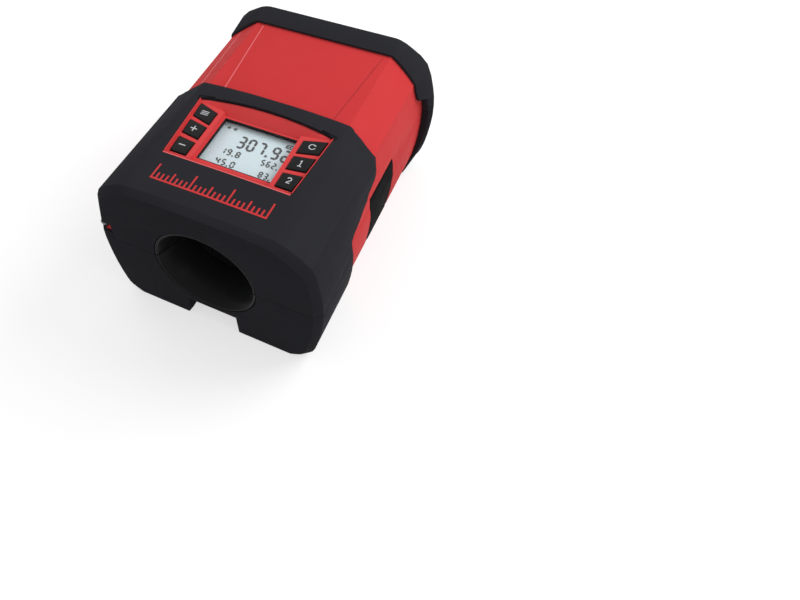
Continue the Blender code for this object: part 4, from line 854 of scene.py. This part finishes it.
def two_mark():
    """A round bow that runs down into a slanting stroke and a foot."""
    radius, stroke = DIGIT_MARK["width"] / 2, DIGIT_MARK["stroke"]
    centre, foot = DIGIT_MARK["height"] / 2 - radius, -DIGIT_MARK["height"] / 2
    turns = arc(BOW["start"], -BOW["sweep"], BOW["steps"])
    spots = [Vector((radius * math.cos(t), centre + radius * math.sin(t))) for t in turns]
    spots.append(Vector((-radius + stroke / 2, foot + stroke)))
    left, right = [], []
    for before, spot, after in zip(spots[:1] + spots, spots, spots[1:] + spots[-1:]):
        side = side_of((after - before).normalized(), stroke)
        left.append(tuple(spot + side))
        right.append(tuple(spot - side))
    return band(left, right) + [bar((-radius, foot + stroke / 2), (radius, foot + stroke / 2), stroke)]


KEY_MARKS = {
    "left_rear_key": bars_mark, "left_middle_key": plus_mark, "left_front_key": minus_mark,
    "right_rear_key": turn_mark, "right_middle_key": one_mark, "right_front_key": two_mark,
}


def make_key_marks(look):
    for node, mark in KEY_MARKS.items():
        low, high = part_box(node)
        x, y, _ = middle_of(low, high)
        form = bmesh.new()
        for points in mark():
            placed = [(x + across, y + along) for across, along in points]
            plate(form, placed, high[2] - PRINT_SINK, high[2] + PRINT_THICK)
        hand, row = node.split("_")[:2]
        piece(f"{hand}_{row}_mark", form, look, f"key_{hand}_{row}")


# Boot

def make_rule(look):
    """A plain measuring scale printed across the boot."""
    surface = surface_of("upper_front_boot")
    form = bmesh.new()
    front, rear = RULE_Y - RULE_LINE / 2, RULE_Y + RULE_LINE / 2
    draped(form, surface, strip(-RULE_HALF, RULE_HALF, front, rear), STRIP_STEPS)
    for i in range(RULE_TICKS + 1):
        x = -RULE_HALF + TICK_WIDTH / 2 + (2 * RULE_HALF - TICK_WIDTH) * i / RULE_TICKS
        left, right = x - TICK_WIDTH / 2, x + TICK_WIDTH / 2
        end = RULE_Y + TICK_LENGTHS[i % len(TICK_LENGTHS)]
        draped(form, surface, [(left, rear), (left, end), (right, end), (right, rear)], TICK_STEPS)
    piece("scale_line", form, look, "lid")


def make_rims(look):
    """Raised rims at both sides of the display surround."""
    tops = (RIM_FRONT_TOP, RIM_REAR_TOP, RIM_REAR_TOP, RIM_FRONT_TOP)
    for hand, side in HANDS.items():
        form = bmesh.new()
        front, rear = [(side * x, y) for x, y in (RIM_FRONT, RIM_REAR)]
        points = bar(front, rear, RIM_WIDTH)
        foot = [form.verts.new((x, y, RIM_FOOT)) for x, y in points]
        crest = [form.verts.new((x, y, top)) for (x, y), top in zip(points, tops)]
        closed(form, [foot, crest])
        piece(f"surround_rim_{hand}", form, look, "lid")


def make_lip(name, front, rear, look):
    """A thin strip on the boot along the surround's front, in the look it is given."""
    form = bmesh.new()
    draped(form, surface_of("upper_front_boot"), strip(-LIP_HALF, LIP_HALF, front, rear), STRIP_STEPS)
    piece(name, form, look, "lid")


def make_slit_shades(look):
    """Dark sheets of painted shade in the two slits of the visor."""
    for hand, side in HANDS.items():
        form = bmesh.new()
        points = [(side * x, y) for x, y in SLIT_PLAN]
        plate(form, points, SLIT_FLOOR - SLIT_HALF_THICK, SLIT_FLOOR + SLIT_HALF_THICK)
        piece(f"visor_slit_shade_{hand}", form, look, "lid")


# Red body

def make_line(name, row, look):
    """A fine line along the red body, in the painted highlight or painted shade its row names."""
    front, rear = (row["front_x"], row["front_y"]), (row["rear_x"], row["rear_y"])
    form = bmesh.new()
    draped(form, surface_of("upper_shell"), bar(front, rear, row["width"]), STRIP_STEPS)
    piece(name, form, look, "lid")


# Hinge

def make_pin_heads(look):
    """A domed head at each end of the hinge pin, seen in the notches of the boots."""
    low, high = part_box("hinge_pin")
    x, _, z = middle_of(low, high)
    around = circle(PIN_STEPS)
    stations = [(wide, PIN_HEAD_LENGTH - PIN_DOME * back) for wide, back in PIN_DOME_SHARES]
    stations.append((1.0, 0.0))
    for name, start, out in (("front_pin_head", low[1], -1), ("rear_pin_head", high[1], 1)):
        form = bmesh.new()
        rings = []
        for wide, along in stations:
            radius = wide * PIN_HEAD_RADIUS
            y = start + out * along
            rings.append([form.verts.new((x + radius * across, y, z + radius * up)) for across, up in around])
        tip = form.verts.new((x, start + out * PIN_HEAD_LENGTH, z))
        for k in range(PIN_STEPS):
            form.faces.new((rings[0][k - 1], rings[0][k], tip))
        walls(form, rings)
        form.faces.new(rings[-1])
        made = piece(name, form, look, "base")
        made.data.shade_smooth()


def make_cheek(look):
    """The end of the base's knuckle, beside the front head of the pin."""
    low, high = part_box("hinge_pin")
    x, _, z = middle_of(low, high)
    form = bmesh.new()
    ends = []
    for y in (CHEEK_FRONT, CHEEK_REAR):
        ends.append([form.verts.new((x + across, y, z + up)) for across, up in CHEEK_PLAN])
    closed(form, ends)
    piece("hinge_cheek", form, look, "base")


# Screw heads

def hexagon(around):
    """As many points as a circle has, spread evenly along the sides of the hexagon in it."""
    per_side = len(around) // SOCKET_SIDES
    corners = [Vector(spot) for spot in around[::per_side]]
    points = []
    for one, two in zip(corners, corners[1:] + corners[:1]):
        points += [one.lerp(two, k / per_side) for k in range(per_side)]
    return points


def make_screw_heads(look):
    """Domed heads with a hexagonal socket, seen in the base."""
    around = circle(SCREW_STEPS, 0.5)
    socket = [spot * SOCKET_RADIUS for spot in hexagon(around)]
    for number in range(1, SCREWS + 1):
        node = f"case_screw_{number}"
        low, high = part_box(node)
        x, y, _ = middle_of(low, high)
        crown = low[2]
        outline = [(SCREW_SHAFT_RADIUS, high[2]), (SCREW_SHAFT_RADIUS, crown + SCREW_HEAD_HEIGHT)]
        for wide, up in SCREW_DOME_SHARES:
            outline.append((SCREW_HEAD_RADIUS * wide, crown + SCREW_HEAD_HEIGHT * up))
        form = bmesh.new()
        rings = []
        for radius, z in outline:
            rings.append([form.verts.new((x + radius * i, y + radius * k, z)) for i, k in around])
        for z in (crown, crown + SOCKET_DEPTH):
            rings.append([form.verts.new((x + spot.x, y + spot.y, z)) for spot in socket])
        closed(form, rings)
        head = piece(f"socket_screw_{number}", form, look, "base")
        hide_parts(node)


# Everything

make_camera()
bpy.context.scene.view_settings.view_transform = "Standard"
make_world()
for name, row in LAMPS.items():
    make_lamp(name, **row)
make_floor()

LOOKS = {name: moulded(name, **row) for name, row in MOULDED_LOOKS.items()}
LOOKS.update({name: metal(name, **row) for name, row in METAL_LOOKS.items()})
LOOKS.update({name: printed(name, **row) for name, row in PRINTED_LOOKS.items()})
LOOKS.update({"pane": pane_look(), "lcd": lcd_look(), "board": board_look()})

for name, node in NODES.items():
    dress(name, node, LOOKS)

make_readout(LOOKS["readout_ink"])
make_gasket(LOOKS["rubber"])
make_key_marks(LOOKS["mark_ink"])
make_rule(LOOKS["scale_ink"])
for name, row in LINES.items():
    make_line(name, row, LOOKS[row["look"]])
# The rims and the lip are in the lighter red that paints light on the surround
make_rims(LOOKS["painted_lit_red"])
make_lip("surround_lip", LIP_FRONT, LIP_REAR, LOOKS["painted_lit_red"])
# A painted highlight along the front edge of the surround
make_lip("surround_edge_highlight", LIP_EDGE, LIP_FRONT, LOOKS["painted_edge_highlight"])
# Dark sheets that paint the shade in the visor slits
make_slit_shades(LOOKS["slit_shade"])
# The pin heads take the darker steel that paints the shade of the notches
make_pin_heads(LOOKS["shaded_pin_steel"])
make_cheek(LOOKS["red_shell"])
make_screw_heads(LOOKS["steel"])
